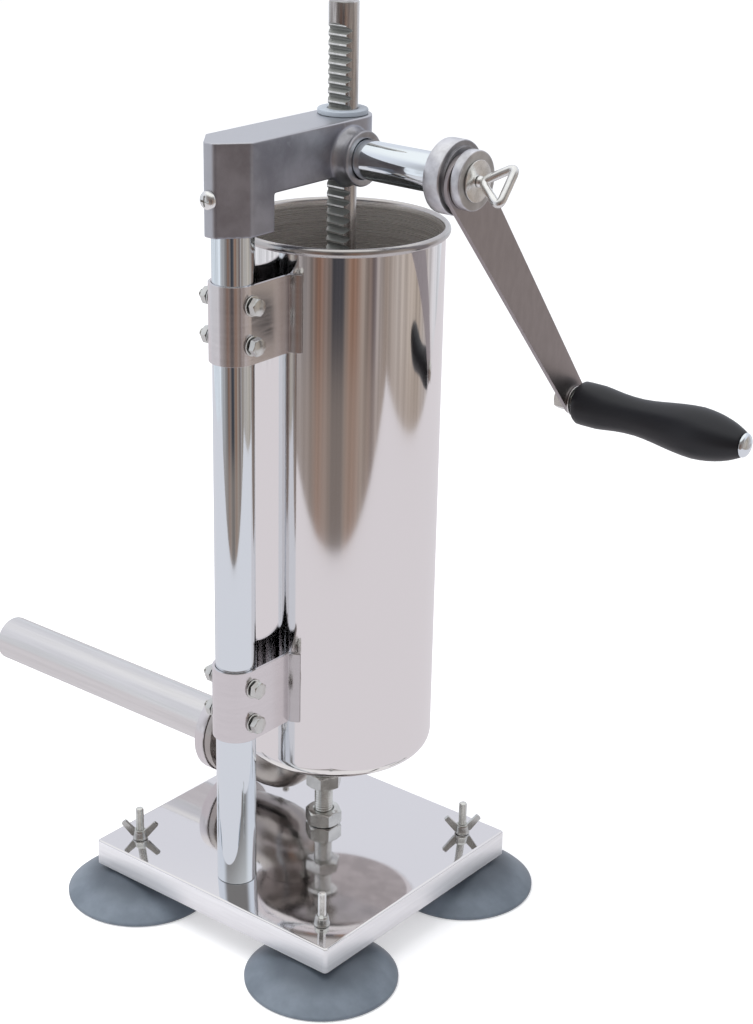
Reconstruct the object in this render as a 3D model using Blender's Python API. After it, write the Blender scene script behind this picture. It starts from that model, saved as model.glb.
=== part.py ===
"""Vertical sausage stuffer: crank, rack and piston over a steel barrel.

Metres, +Z up. The crank side is +X, the filling tube points to -X, and the
barrel stands behind the column, on its +Y side. Inside this file every piece
is placed from the middle of the base plate's top face; one empty moves the
whole assembly so that its box stands centred on the origin.
"""
import math

import bmesh
import bpy
from mathutils import Matrix

# Running gap between pieces that touch, and how far a cutter runs past a face
GAP = 0.0003
OVERRUN = 0.002

# Base plate: a folded steel pan
BASE_LENGTH = 0.222
BASE_DEPTH = 0.208
BASE_SHEET = 0.002
BASE_SKIRT = 0.0193
BASE_CORNER = 0.004
BASE_FOLD = 0.0018

# Suction cups and their studs, one at each corner of the plate
CUP_RADIUS = 0.054
CUP_HEIGHT = 0.0402
CUP_LIP = 0.0025
CUP_RIM_FLAT = 0.004
CUP_WALL = 0.006
CUP_NECK_RADIUS = 0.015
CUP_NECK_HEIGHT = 0.0165
CUP_HOLLOW_HEIGHT = 0.013
STUD_INSET = 0.0229
STUD_RADIUS = 0.003
STUD_RISE = 0.0252
STUD_SINK = 0.012
STUD_CHAMFER = 0.0006
WING_HUB_RADIUS = 0.0056
WING_HUB_TOP_RADIUS = 0.0046
WING_HUB_HEIGHT = 0.0075
WING_SPAN = 0.0285
WING_HEIGHT = 0.0145
WING_WIDTH = 0.0068
WING_SHEET = 0.0022
WING_TURNS_DEGREES = {"front_left": 34, "front_right": 128, "back_right": 46, "back_left": 20}

# Column: a plated tube on a plug and a bolt
COLUMN_Y = -0.0716
COLUMN_RADIUS = 0.014
COLUMN_WALL = 0.0018
COLUMN_TOP = 0.5225
PLUG_LENGTH = 0.026
COLUMN_BOLT_RADIUS = 0.005
COLUMN_BOLT_REACH = 0.021
COLUMN_BOLT_HEAD = 0.0064
COLUMN_BOLT_FLATS = 0.0085
COLUMN_WASHER_RADIUS = 0.0105
COLUMN_WASHER_SHEET = 0.002

# Barrel
BARREL_Y = 0.0364
BARREL_RADIUS = 0.071
BARREL_WALL = 0.0012
BARREL_BOTTOM = 0.0685
BARREL_CORNER = 0.012
BARREL_RIM = 0.4578
BARREL_BEAD = 0.0023

# Outlet under the barrel, its nut and the filling tube
OUTLET_HEIGHT = 0.0385
OUTLET_RADIUS = 0.025
OUTLET_WALL = 0.0018
OUTLET_BEND = 0.030
NECK_X = -0.0455
FLOOR_HOLE_RADIUS = 0.020
OUTLET_FLANGE_X = -0.1025
OUTLET_FLANGE_LENGTH = 0.0065
OUTLET_FLANGE_RADIUS = 0.033
THREAD_RADIUS = 0.0275
THREAD_LENGTH = 0.0045
UNION_RADIUS = 0.034
UNION_LIP = 0.0022
GASKET_SHEET = 0.001
NOZZLE_RADIUS = 0.0180
NOZZLE_WALL = 0.0012
NOZZLE_FLANGE_RADIUS = 0.026
NOZZLE_FLANGE_SHEET = 0.0012
NOZZLE_TIP_X = -0.3545

# Clamps that tie the barrel to the column
CLAMP_SHEET = 0.002
CLAMP_HEIGHT = 0.053
CLAMP_UPPER_Z = 0.4145
CLAMP_LOWER_Z = 0.1415
CLAMP_FLANGE_X = 0.0238
CLAMP_BOLT_PITCH = 0.0265
CLAMP_BOLT_RADIUS = 0.003
CLAMP_BOLT_FLATS = 0.0055
CLAMP_BOLT_HEAD = 0.0042
CLAMP_WASHER_RADIUS = 0.0069
CLAMP_WASHER_SHEET = 0.0010
CLAMP_SPRING_SHEET = 0.0014
CLAMP_SPRING_RADIUS = 0.0049
CLAMP_NUT_HEIGHT = 0.005
CLAMP_BOLT_TAIL = 0.004

# Support stud under the barrel
SUPPORT_X = -0.0013
SUPPORT_Y = 0.0263
SUPPORT_RADIUS = 0.007
SUPPORT_FLATS = 0.0120
SUPPORT_NUT_HEIGHT = 0.0114
SUPPORT_JAM_HEIGHT = 0.0110
SUPPORT_JAM_Z = 0.0320
SUPPORT_REACH = 0.0150
SUPPORT_PAD_RADIUS = 0.0125
SUPPORT_PAD_SHEET = 0.002

# Head casting
HEAD_ROOF = 0.0112
HEAD_ARM_DEPTH = 0.033
HEAD_HALF_WIDTH = 0.0195
HEAD_FRONT_HALF = 0.0042
HEAD_FRONT = 0.0219
HEAD_CHAMFER_LENGTH = 0.0185
HEAD_BLOCK_BACK = 0.0185
HEAD_BLOCK_DEPTH = 0.0585
HEAD_EDGE = 0.0012
BOSS_RADIUS = 0.0172
BOSS_REACH = 0.0318
BOSS_LIP = 0.0048
BOSS_LIP_RADIUS = 0.0178
HEAD_SCREW_DROP = 0.0362
HEAD_SCREW_RADIUS = 0.003
HEAD_SCREW_HEAD_RADIUS = 0.0063
HEAD_SCREW_HEAD = 0.0042
HEAD_SCREW_REACH = 0.0105

# Rack and its guide bushes
RACK_RADIUS = 0.010
RACK_RISE = 0.0733
RACK_BOTTOM = 0.143
RACK_PLAIN_TOP = 0.0152
RACK_PLAIN_FOOT = 0.006
RACK_CHAMFER = 0.001
MODULE = 0.002
RACK_FACE = 0.0066
RACK_ADDENDUM = 0.0016
RACK_DEDENDUM = 0.0022
PRESSURE_ANGLE = math.radians(25)
TOOTH_BACKLASH = 0.00012
BUSH_RADIUS = 0.0135
BUSH_LENGTH = 0.0085
BUSH_FLANGE_RADIUS = 0.017
BUSH_FLANGE = 0.0034
BUSH_EDGE = 0.0012

# Pinion shaft in the head and the sleeve
PINION_TEETH = 10
PINION_ADDENDUM = 0.0018
PINION_DEDENDUM = 0.0022
PINION_WIDTH = 0.017
FLANK_STEPS = 3
CHAMBER_GAP = 0.0008
JOURNAL_RADIUS = 0.007
JOURNAL_LENGTH = 0.0065
SHAFT_RADIUS = 0.008
SHAFT_DROP = 0.0237
SHAFT_SQUARE = 0.0056
SHAFT_TAIL_GAP = 0.001
BEARING_WALL = 0.002
SLEEVE_RADIUS = 0.013
SLEEVE_WALL = 0.0022
SLEEVE_SEAT = 0.0100
COLLAR_X = 0.0965
COLLAR_LENGTH = 0.0150
COLLAR_RADIUS = 0.0243
COLLAR_SEAT = 0.005
COLLAR_BUSH_WALL = 0.0025
COLLAR_EDGE = 0.0016
COLLAR_GROOVE = 0.0022
COLLAR_STEP_RADIUS = 0.0200

# Crank
ARM_SHEET = 0.0034
ARM_ANGLE = math.radians(37.2)
ARM_LENGTH = 0.229
ARM_HUB_HALF = 0.0185
ARM_HUB_SHIFT = -0.00325
ARM_TIP_HALF = 0.0116
ARM_TIP_SHIFT = 0.0021
ARM_EDGE = 0.0004
HUB_LENGTH = 0.0068
HUB_RADIUS = 0.0194
HUB_EDGE = 0.001
HUB_WASHER_RADIUS = 0.0136
HUB_WASHER_SHEET = 0.0012
THUMB_RADIUS = 0.003
THUMB_REACH = 0.012
THUMB_SHOULDER = 0.0045
THUMB_SHOULDER_LENGTH = 0.002
THUMB_WIRE = 0.0027
THUMB_LOOP_DEPTH = 0.0188
THUMB_LOOP_HALF = 0.0138
THUMB_LOOP_BEND = 0.0060
THUMB_TURN_DEGREES = -38.5

# Turning grip on its spindle
SPINDLE_RADIUS = 0.004
SPINDLE_SHOULDER_RADIUS = 0.0075
SPINDLE_SHOULDER = 0.003
SPINDLE_NUT_FLATS = 0.0075
SPINDLE_NUT_HEIGHT = 0.0095
SPINDLE_TAIL = 0.001
GRIP_WASHER_RADIUS = 0.011
GRIP_WASHER_SHEET = 0.0012
GRIP_LENGTH = 0.1312
GRIP_SHOULDER_RADIUS = 0.0156
GRIP_WAIST_RADIUS = 0.0132
GRIP_BELLY_RADIUS = 0.0182
GRIP_END_RADIUS = 0.0088
GRIP_EDGE = 0.0016
GRIP_SHOULDER_SHARE = 0.14
GRIP_WAIST_SHARE = 0.37
GRIP_BELLY_SHARE = 0.735
GRIP_SIDE_GAP = 0.0006
CAP_RADIUS = 0.0086
CAP_HEIGHT = 0.0035
CAP_NECK = 0.002

# Piston
PISTON_CLEARANCE = 0.0009
PISTON_HEIGHT = 0.026
PISTON_EDGE = 0.0015
PISTON_LAND = 0.001
SEAL_HEIGHT = 0.009
SEAL_DEPTH = 0.0045
SEAL_CLEARANCE = 0.0004
PISTON_SEAT = 0.012
PISTON_SCREW_RADIUS = 0.004
PISTON_SCREW_REACH = 0.014
PISTON_SCREW_HEAD_RADIUS = 0.0078
PISTON_SCREW_HEAD = 0.0045

# Number of sides of round pieces
FINE_SIDES = 36
ROUND_SIDES = 20
SMALL_SIDES = 12

# Values that follow from the sizes above
PLATE_TOP = CUP_HEIGHT + BASE_SHEET + GAP
STUD_X = BASE_LENGTH / 2 - STUD_INSET
STUD_Y = BASE_DEPTH / 2 - STUD_INSET
PITCH_RADIUS = MODULE * PINION_TEETH / 2
TOOTH_PITCH = MODULE * math.pi
PITCH_LINE_Y = BARREL_Y - RACK_FACE + RACK_ADDENDUM
SHAFT_Y = PITCH_LINE_Y - PITCH_RADIUS
HEAD_TOP = COLUMN_TOP + HEAD_ROOF
HEAD_ARM_BOTTOM = HEAD_TOP - HEAD_ARM_DEPTH
HEAD_BLOCK_BOTTOM = HEAD_TOP - HEAD_BLOCK_DEPTH
HEAD_SCREW_Z = HEAD_TOP - HEAD_SCREW_DROP
SHAFT_Z = HEAD_TOP - SHAFT_DROP
RACK_TOP = HEAD_TOP + RACK_RISE
CLAMP_HALF_GRIP = COLUMN_RADIUS + GAP + CLAMP_SHEET
ARM_X = COLLAR_X + COLLAR_LENGTH + GAP
HUB_X = ARM_X + ARM_SHEET + GAP
HUB_END = HUB_X + HUB_LENGTH
WASHER_END = HUB_END + GAP + HUB_WASHER_SHEET
GRIP_Y = SHAFT_Y + ARM_LENGTH * math.sin(ARM_ANGLE)
GRIP_Z = SHAFT_Z - ARM_LENGTH * math.cos(ARM_ANGLE)
GRIP_WASHER_X = ARM_X + ARM_SHEET + GAP
GRIP_X = GRIP_WASHER_X + GRIP_WASHER_SHEET + SPINDLE_SHOULDER + 2 * GAP
GRIP_END = GRIP_X + GRIP_LENGTH
CAP_X = GRIP_END + GRIP_SIDE_GAP
BORE_RADIUS = BARREL_RADIUS - BARREL_WALL
PISTON_RADIUS = BORE_RADIUS - PISTON_CLEARANCE
PISTON_BOTTOM = RACK_BOTTOM + PISTON_SEAT - PISTON_HEIGHT
UNION_X = OUTLET_FLANGE_X - GAP

# The assembly's box, which the origin is centred under
BOX_LOW_X = NOZZLE_TIP_X
BOX_HIGH_X = CAP_X + CAP_HEIGHT
BOX_LOW_Y = -STUD_Y - CUP_RADIUS
BOX_HIGH_Y = max(STUD_Y + CUP_RADIUS, GRIP_Y + GRIP_BELLY_RADIUS)

FACE_X = (0, math.pi / 2, 0)
FACE_MINUS_X = (0, -math.pi / 2, 0)
FACE_MINUS_Y = (math.pi / 2, 0, 0)


def clear_scene():
    for item in list(bpy.data.objects):
        bpy.data.objects.remove(item, do_unlink=True)


def finish_material(name, colour, roughness, metallic=0.0):
    """One Principled finish, made once and shared by the pieces that have it."""
    made = bpy.data.materials.get(name)
    if made is None:
        made = bpy.data.materials.new(name)
        made.use_nodes = True
        shader = made.node_tree.nodes["Principled BSDF"]
        shader.inputs["Base Color"].default_value = (*colour, 1)
        shader.inputs["Roughness"].default_value = roughness
        shader.inputs["Metallic"].default_value = metallic
    return made


FINISHES = {
    "mirror_steel": ((0.78, 0.76, 0.75), 0.08, 1.0),
    "brushed_steel": ((0.72, 0.71, 0.70), 0.30, 1.0),
    "satin_steel": ((0.66, 0.63, 0.62), 0.38, 1.0),
    "chrome": ((0.80, 0.83, 0.88), 0.05, 1.0),
    "cast_aluminium": ((0.52, 0.52, 0.55), 0.50, 0.9),
    "turned_aluminium": ((0.66, 0.66, 0.68), 0.30, 1.0),
    "zinc": ((0.62, 0.64, 0.60), 0.35, 1.0),
    "rack_steel": ((0.42, 0.40, 0.38), 0.35, 1.0),
    "cup_rubber": ((0.24, 0.30, 0.35), 0.50, 0.0),
    "seal_rubber": ((0.80, 0.80, 0.78), 0.55, 0.0),
    "nylon": ((0.70, 0.75, 0.78), 0.45, 0.0),
    "bearing_plastic": ((0.10, 0.10, 0.11), 0.45, 0.0),
    "grip_plastic": ((0.030, 0.032, 0.038), 0.40, 0.0),
}


def place(name, body, finish, at=(0, 0, 0), turn=(0, 0, 0), parent=None):
    """Turn a bmesh into a named object on the assembly, shaded smooth on round faces."""
    bmesh.ops.recalc_face_normals(body, faces=body.faces)
    mesh = bpy.data.meshes.new(name)
    body.to_mesh(mesh)
    body.free()
    mesh.shade_smooth()
    mesh.set_sharp_from_angle(angle=math.radians(35))
    mesh.materials.append(finish_material(finish, *FINISHES[finish]))
    piece = bpy.data.objects.new(name, mesh)
    bpy.context.collection.objects.link(piece)
    piece.parent = parent or ASSEMBLY
    piece.location = at
    piece.rotation_euler = turn
    return piece


def section(height, size, corners=0, sides=SMALL_SIDES):
    """Points of one cross-section; size is a radius, or half the width over flats."""
    points = []
    for step in range(sides):
        angle = math.tau * step / sides
        reach = size
        if corners:
            span = math.tau / corners
            reach = size / math.cos(angle % span - span / 2)
        points.append((reach * math.cos(angle), reach * math.sin(angle), height))
    return points


def ring_angles(sides):
    return [math.tau * step / sides for step in range(sides)]


def loft(rows, closed=False):
    """Skin a list of equal rings; a closed loft joins the last ring to the first."""
    body = bmesh.new()
    rings = [[body.verts.new(point) for point in row] for row in rows]
    pairs = list(zip(rings, rings[1:]))
    if closed:
        pairs.append((rings[-1], rings[0]))
    for low, high in pairs:
        for index in range(len(low)):
            after = (index + 1) % len(low)
            body.faces.new((low[index], low[after], high[after], high[index]))
    if not closed:
        body.faces.new(rings[0])
        body.faces.new(rings[-1])
    return body


def turned(outline, sides=ROUND_SIDES, closed=False):
    """Solid of revolution about local Z from (height, radius) or (height, flats, corners)."""
    return loft([section(*spot, sides=sides) if len(spot) == 3
                 else section(spot[0], spot[1], 0, sides) for spot in outline], closed)


def extruded(outline, low, high):
    """Prism of an XY outline between two heights."""
    return loft([[(x, y, height) for x, y in outline] for height in (low, high)])


def arc(radius, start, end, steps, centre=(0, 0)):
    """Points of an arc in degrees, both ends included."""
    points = []
    for step in range(steps + 1):
        angle = math.radians(start + (end - start) * step / steps)
        points.append((centre[0] + radius * math.cos(angle), centre[1] + radius * math.sin(angle)))
    return points


def tool(body, at=(0, 0, 0), turn=(0, 0, 0)):
    """A hidden shape that cuts or joins another piece."""
    shape = place("tool", body, "satin_steel", at, turn)
    shape.hide_render = True
    shape.display_type = "WIRE"
    return shape


def rod_tool(radius, low, high, at=(0, 0, 0), turn=(0, 0, 0), sides=SMALL_SIDES):
    return tool(turned([(low, radius), (high, radius)], sides), at, turn)


def shape_with(piece, shape, operation):
    change = piece.modifiers.new(operation.title(), "BOOLEAN")
    change.operation = operation
    change.solver = "EXACT"
    change.object = shape
    return piece


def cut(piece, *shapes):
    for shape in shapes:
        shape_with(piece, shape, "DIFFERENCE")
    return piece


def join(piece, *shapes):
    for shape in shapes:
        shape_with(piece, shape, "UNION")
    return piece


def rounded_rectangle(length, depth, corner, steps=3):
    points = []
    for middle_x, middle_y, start in ((1, 1, 0), (-1, 1, 90), (-1, -1, 180), (1, -1, 270)):
        centre = (middle_x * (length / 2 - corner), middle_y * (depth / 2 - corner))
        points += arc(corner, start, start + 90, steps, centre)
    return points


def corner_places():
    for name, side_x, side_y in (("front_left", -1, -1), ("front_right", 1, -1),
                                 ("back_right", 1, 1), ("back_left", -1, 1)):
        yield name, side_x * STUD_X, side_y * STUD_Y


def base_plate():
    def level(inset, height):
        outline = rounded_rectangle(BASE_LENGTH - 2 * inset, BASE_DEPTH - 2 * inset,
                                    BASE_CORNER - inset)
        return [(x, y, height) for x, y in outline]

    fold = [(BASE_FOLD * (1 - math.cos(math.radians(turn))),
             -BASE_FOLD * (1 - math.sin(math.radians(turn)))) for turn in (0, 45, 90)]
    rows = [level(BASE_SHEET, -BASE_SHEET), level(BASE_SHEET, -BASE_SKIRT), level(0, -BASE_SKIRT)]
    rows += [level(inset, height) for inset, height in fold]
    plate = place("base_plate", loft(rows), "mirror_steel")
    low = -BASE_SHEET - OVERRUN
    for _, x, y in corner_places():
        cut(plate, rod_tool(STUD_RADIUS + GAP, low, OVERRUN, (x, y, 0)))
    cut(plate, rod_tool(COLUMN_BOLT_RADIUS + GAP, low, OVERRUN, (0, COLUMN_Y, 0)))
    cut(plate, rod_tool(SUPPORT_RADIUS + GAP, low, OVERRUN, (SUPPORT_X, SUPPORT_Y, 0)))


def cup_body():
    """A thick dome with a neck on top and a shallow hollow under it."""
    foot = -CUP_HEIGHT
    neck_low = -CUP_NECK_HEIGHT
    outer = [(foot, CUP_RADIUS), (foot + CUP_LIP, CUP_RADIUS)]
    for share in (0.3, 0.65, 1.0):
        fall = math.cos(share * math.pi / 2) ** 0.9
        outer.append((foot + CUP_LIP + (neck_low - foot - CUP_LIP) * share,
                      CUP_NECK_RADIUS + (CUP_RADIUS - CUP_NECK_RADIUS) * fall))
    outer.append((0, CUP_NECK_RADIUS))
    hollow = [(foot, CUP_RADIUS - CUP_RIM_FLAT)]
    for share in (0.4, 0.85):
        hollow.append((foot + CUP_HOLLOW_HEIGHT * math.sin(share * math.pi / 2),
                       (CUP_RADIUS - CUP_WALL) * math.cos(share * math.pi / 2)))
    return turned(hollow[::-1] + outer, ROUND_SIDES)


def cup_stud_body(drop):
    return turned([(-STUD_SINK + GAP, STUD_RADIUS),
                   (drop + STUD_RISE - STUD_CHAMFER, STUD_RADIUS),
                   (drop + STUD_RISE, STUD_RADIUS - STUD_CHAMFER)], 16)


def wing_outline():
    """Half of the pair of wings, from the hub out to the raised tip."""
    tip = WING_SPAN / 2
    inner = tip - WING_WIDTH
    return [(0, WING_HUB_HEIGHT * 0.25), (WING_HUB_RADIUS, WING_HUB_HEIGHT * 0.25),
            (tip - WING_WIDTH * 0.15, WING_HEIGHT * 0.55), (tip, WING_HEIGHT * 0.80),
            (tip - WING_WIDTH * 0.15, WING_HEIGHT * 0.97), (tip - WING_WIDTH * 0.50, WING_HEIGHT),
            (inner, WING_HEIGHT * 0.88), (WING_HUB_TOP_RADIUS, WING_HUB_HEIGHT * 0.90),
            (0, WING_HUB_HEIGHT * 0.90)]


def wing_nut_mesh():
    """Hub, two wings and a bore, joined once and shared by the four nuts."""
    hub = place("wing_hub", turned([(0, WING_HUB_RADIUS), (WING_HUB_HEIGHT * 0.4, WING_HUB_RADIUS),
                                    (WING_HUB_HEIGHT, WING_HUB_TOP_RADIUS)], 16), "zinc")
    half = wing_outline()
    outline = half + [(-x, height) for x, height in reversed(half[1:-1])]
    wings = tool(extruded(outline, -WING_SHEET / 2, WING_SHEET / 2), turn=FACE_MINUS_Y)
    join(hub, wings)
    cut(hub, rod_tool(STUD_RADIUS + GAP / 2, -OVERRUN, WING_HEIGHT + OVERRUN, sides=16))
    bpy.context.view_layer.update()
    finished = hub.evaluated_get(bpy.context.evaluated_depsgraph_get())
    mesh = bpy.data.meshes.new_from_object(finished)
    bpy.data.objects.remove(hub)
    return mesh


def cups_and_wing_nuts():
    under = -BASE_SHEET - GAP
    nut_mesh = wing_nut_mesh()
    for name, x, y in corner_places():
        cup = place("suction_cup_" + name, cup_body(), "cup_rubber", (x, y, under))
        cut(cup, rod_tool(STUD_RADIUS + GAP / 2, -STUD_SINK, OVERRUN, (x, y, under), sides=16))
        place("cup_stud_" + name, cup_stud_body(-under), "zinc", (x, y, under))
        nut = bpy.data.objects.new("wing_nut_" + name, nut_mesh)
        bpy.context.collection.objects.link(nut)
        nut.parent = ASSEMBLY
        nut.location = (x, y, GAP)
        nut.rotation_euler = (0, 0, math.radians(WING_TURNS_DEGREES[name]))


def clamp_heights():
    for name, middle in (("upper", CLAMP_UPPER_Z), ("lower", CLAMP_LOWER_Z)):
        for place_name, shift in (("top", CLAMP_BOLT_PITCH / 2), ("bottom", -CLAMP_BOLT_PITCH / 2)):
            yield name + "_" + place_name, middle + shift


def clamp_bolt_holes(half_length):
    for _, height in clamp_heights():
        yield rod_tool(CLAMP_BOLT_RADIUS + GAP, -half_length, half_length,
                       (0, COLUMN_Y, height), FACE_X, 8)


def column():
    inner = COLUMN_RADIUS - COLUMN_WALL
    tube = place("column_tube", turned([(GAP, COLUMN_RADIUS), (COLUMN_TOP, COLUMN_RADIUS),
                                        (COLUMN_TOP, inner), (GAP, inner)], ROUND_SIDES, closed=True),
                 "chrome", (0, COLUMN_Y, 0))
    cut(tube, *clamp_bolt_holes(COLUMN_RADIUS + OVERRUN))
    cut(tube, rod_tool(HEAD_SCREW_RADIUS + GAP, 0, COLUMN_RADIUS + OVERRUN,
                       (0, COLUMN_Y, HEAD_SCREW_Z), FACE_MINUS_Y, 16))
    bore = COLUMN_BOLT_RADIUS + GAP
    plug = inner - GAP
    place("column_plug", turned([(GAP, plug), (PLUG_LENGTH, plug), (PLUG_LENGTH, bore), (GAP, bore)],
                                SMALL_SIDES, closed=True), "satin_steel", (0, COLUMN_Y, 0))
    under = -BASE_SHEET - GAP
    place("column_washer", turned([(under, COLUMN_WASHER_RADIUS),
                                   (under - COLUMN_WASHER_SHEET, COLUMN_WASHER_RADIUS),
                                   (under - COLUMN_WASHER_SHEET, bore), (under, bore)],
                                  SMALL_SIDES, closed=True), "zinc", (0, COLUMN_Y, 0))
    seat = under - COLUMN_WASHER_SHEET - GAP
    place("column_bolt", turned([(seat - COLUMN_BOLT_HEAD, COLUMN_BOLT_FLATS * 0.94),
                                 (seat - COLUMN_BOLT_HEAD * 0.85, COLUMN_BOLT_FLATS, 6),
                                 (seat, COLUMN_BOLT_FLATS, 6), (seat, COLUMN_BOLT_RADIUS),
                                 (COLUMN_BOLT_REACH, COLUMN_BOLT_RADIUS)], SMALL_SIDES),
          "zinc", (0, COLUMN_Y, 0))


def barrel_outline(radius, bottom, corner, top):
    """Flat bottom, rounded corner and straight wall, as (height, radius) from the bottom up."""
    spots = [(bottom + corner - corner * math.cos(math.radians(turn)),
              radius - corner + corner * math.sin(math.radians(turn))) for turn in (0, 30, 60, 90)]
    return spots + [(top, radius)]


def elbow_tool(radius, start):
    """Tube from the flange that bends up into the floor of the barrel."""
    bend_x = NECK_X - OUTLET_BEND
    bend_z = OUTLET_HEIGHT + OUTLET_BEND
    rows = [[(start, radius * math.sin(angle), OUTLET_HEIGHT + radius * math.cos(angle))
             for angle in ring_angles(ROUND_SIDES)]]
    for step in range(6):
        turn = math.radians(90 * step / 5)
        rows.append([(bend_x + (OUTLET_BEND - radius * math.cos(angle)) * math.sin(turn), radius * math.sin(angle),
                      bend_z - (OUTLET_BEND - radius * math.cos(angle)) * math.cos(turn))
                     for angle in ring_angles(ROUND_SIDES)])
    rows.append([(x, y, height + BARREL_CORNER) for x, y, height in rows[-1]])
    return tool(loft(rows), (0, BARREL_Y, 0))


def barrel():
    outer = barrel_outline(BARREL_RADIUS, BARREL_BOTTOM, BARREL_CORNER, BARREL_RIM - 2 * BARREL_BEAD)
    inner = barrel_outline(BORE_RADIUS, BARREL_BOTTOM + BARREL_WALL, BARREL_CORNER - BARREL_WALL,
                           BARREL_RIM - BARREL_BEAD)
    middle = BARREL_RADIUS - BARREL_WALL + BARREL_BEAD
    bead = [(BARREL_RIM - BARREL_BEAD + BARREL_BEAD * math.sin(math.radians(turn)),
             middle + BARREL_BEAD * math.cos(math.radians(turn))) for turn in (-45, 0, 45, 90, 135)]
    shell = place("barrel", turned(outer + bead + inner[::-1], FINE_SIDES), "mirror_steel",
                  (0, BARREL_Y, 0))
    cut(shell, rod_tool(FLOOR_HOLE_RADIUS, OUTLET_HEIGHT, BARREL_BOTTOM + BARREL_CORNER,
                        (NECK_X, BARREL_Y, 0), sides=ROUND_SIDES))


def outlet_and_nozzle():
    seat = OUTLET_FLANGE_X + OUTLET_FLANGE_LENGTH
    flange = [(seat, THREAD_RADIUS), (seat, OUTLET_FLANGE_RADIUS),
              (OUTLET_FLANGE_X, OUTLET_FLANGE_RADIUS), (OUTLET_FLANGE_X, THREAD_RADIUS),
              (OUTLET_FLANGE_X - THREAD_LENGTH, THREAD_RADIUS)]
    axis = (0, BARREL_Y, OUTLET_HEIGHT)
    body = place("outlet_elbow", turned(flange, ROUND_SIDES), "mirror_steel", axis, FACE_X)
    join(body, elbow_tool(OUTLET_RADIUS, seat - OVERRUN))
    inner_radius = NOZZLE_RADIUS - NOZZLE_WALL
    room = barrel_outline(BARREL_RADIUS + GAP, BARREL_BOTTOM - GAP, BARREL_CORNER, BARREL_BOTTOM + CLAMP_HEIGHT)
    cut(body, tool(turned(room, FINE_SIDES), (0, BARREL_Y, 0)))
    cut(body, elbow_tool(OUTLET_RADIUS - OUTLET_WALL, seat + OVERRUN))
    cut(body, rod_tool(inner_radius, OUTLET_FLANGE_X - THREAD_LENGTH - OVERRUN, seat + 2 * OVERRUN, axis, FACE_X,
                       ROUND_SIDES))

    face = OUTLET_FLANGE_X - THREAD_LENGTH - GAP
    place("outlet_gasket", turned([(face, NOZZLE_FLANGE_RADIUS), (face - GASKET_SHEET, NOZZLE_FLANGE_RADIUS),
                                   (face - GASKET_SHEET, inner_radius), (face, inner_radius)],
                                  ROUND_SIDES, closed=True), "seal_rubber", axis, FACE_X)
    back = face - GASKET_SHEET - GAP
    front = back - NOZZLE_FLANGE_SHEET
    place("nozzle", turned([(back, inner_radius), (back, NOZZLE_FLANGE_RADIUS), (front, NOZZLE_FLANGE_RADIUS),
                            (front, NOZZLE_RADIUS), (NOZZLE_TIP_X, NOZZLE_RADIUS),
                            (NOZZLE_TIP_X, inner_radius)], ROUND_SIDES, closed=True),
          "brushed_steel", axis, FACE_X)
    lip = front - GAP
    end = lip - UNION_LIP
    start = UNION_X
    hole = NOZZLE_RADIUS + GAP
    bore = THREAD_RADIUS + 2 * GAP
    edge = UNION_LIP / 2
    place("union_nut", turned([(start, bore), (start, UNION_RADIUS), (end + edge, UNION_RADIUS),
                               (end, UNION_RADIUS - edge), (end, hole), (lip, hole), (lip, bore)],
                              ROUND_SIDES, closed=True),
          "satin_steel", axis, FACE_X)


def clamp_outline():
    """U strap round the column with two flanges that lie on the barrel."""
    inner = COLUMN_RADIUS + GAP
    outer = inner + CLAMP_SHEET
    near = BARREL_RADIUS + GAP
    far = near + CLAMP_SHEET

    def on_barrel(radius, x):
        return x, BARREL_Y - math.sqrt(radius * radius - x * x)

    steps = (0, 0.25, 0.5, 0.75, 1)
    flange_near = [on_barrel(near, inner + (CLAMP_FLANGE_X - inner) * step) for step in steps]
    flange_far = [on_barrel(far, outer + (CLAMP_FLANGE_X - outer) * step) for step in steps]
    right = flange_far + flange_near[::-1]
    bend_in = arc(inner, 0, -180, 12, (0, COLUMN_Y))
    bend_out = arc(outer, -180, 0, 12, (0, COLUMN_Y))
    left = [(-x, y) for x, y in reversed(right)]
    return right + bend_in + left + bend_out


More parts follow.
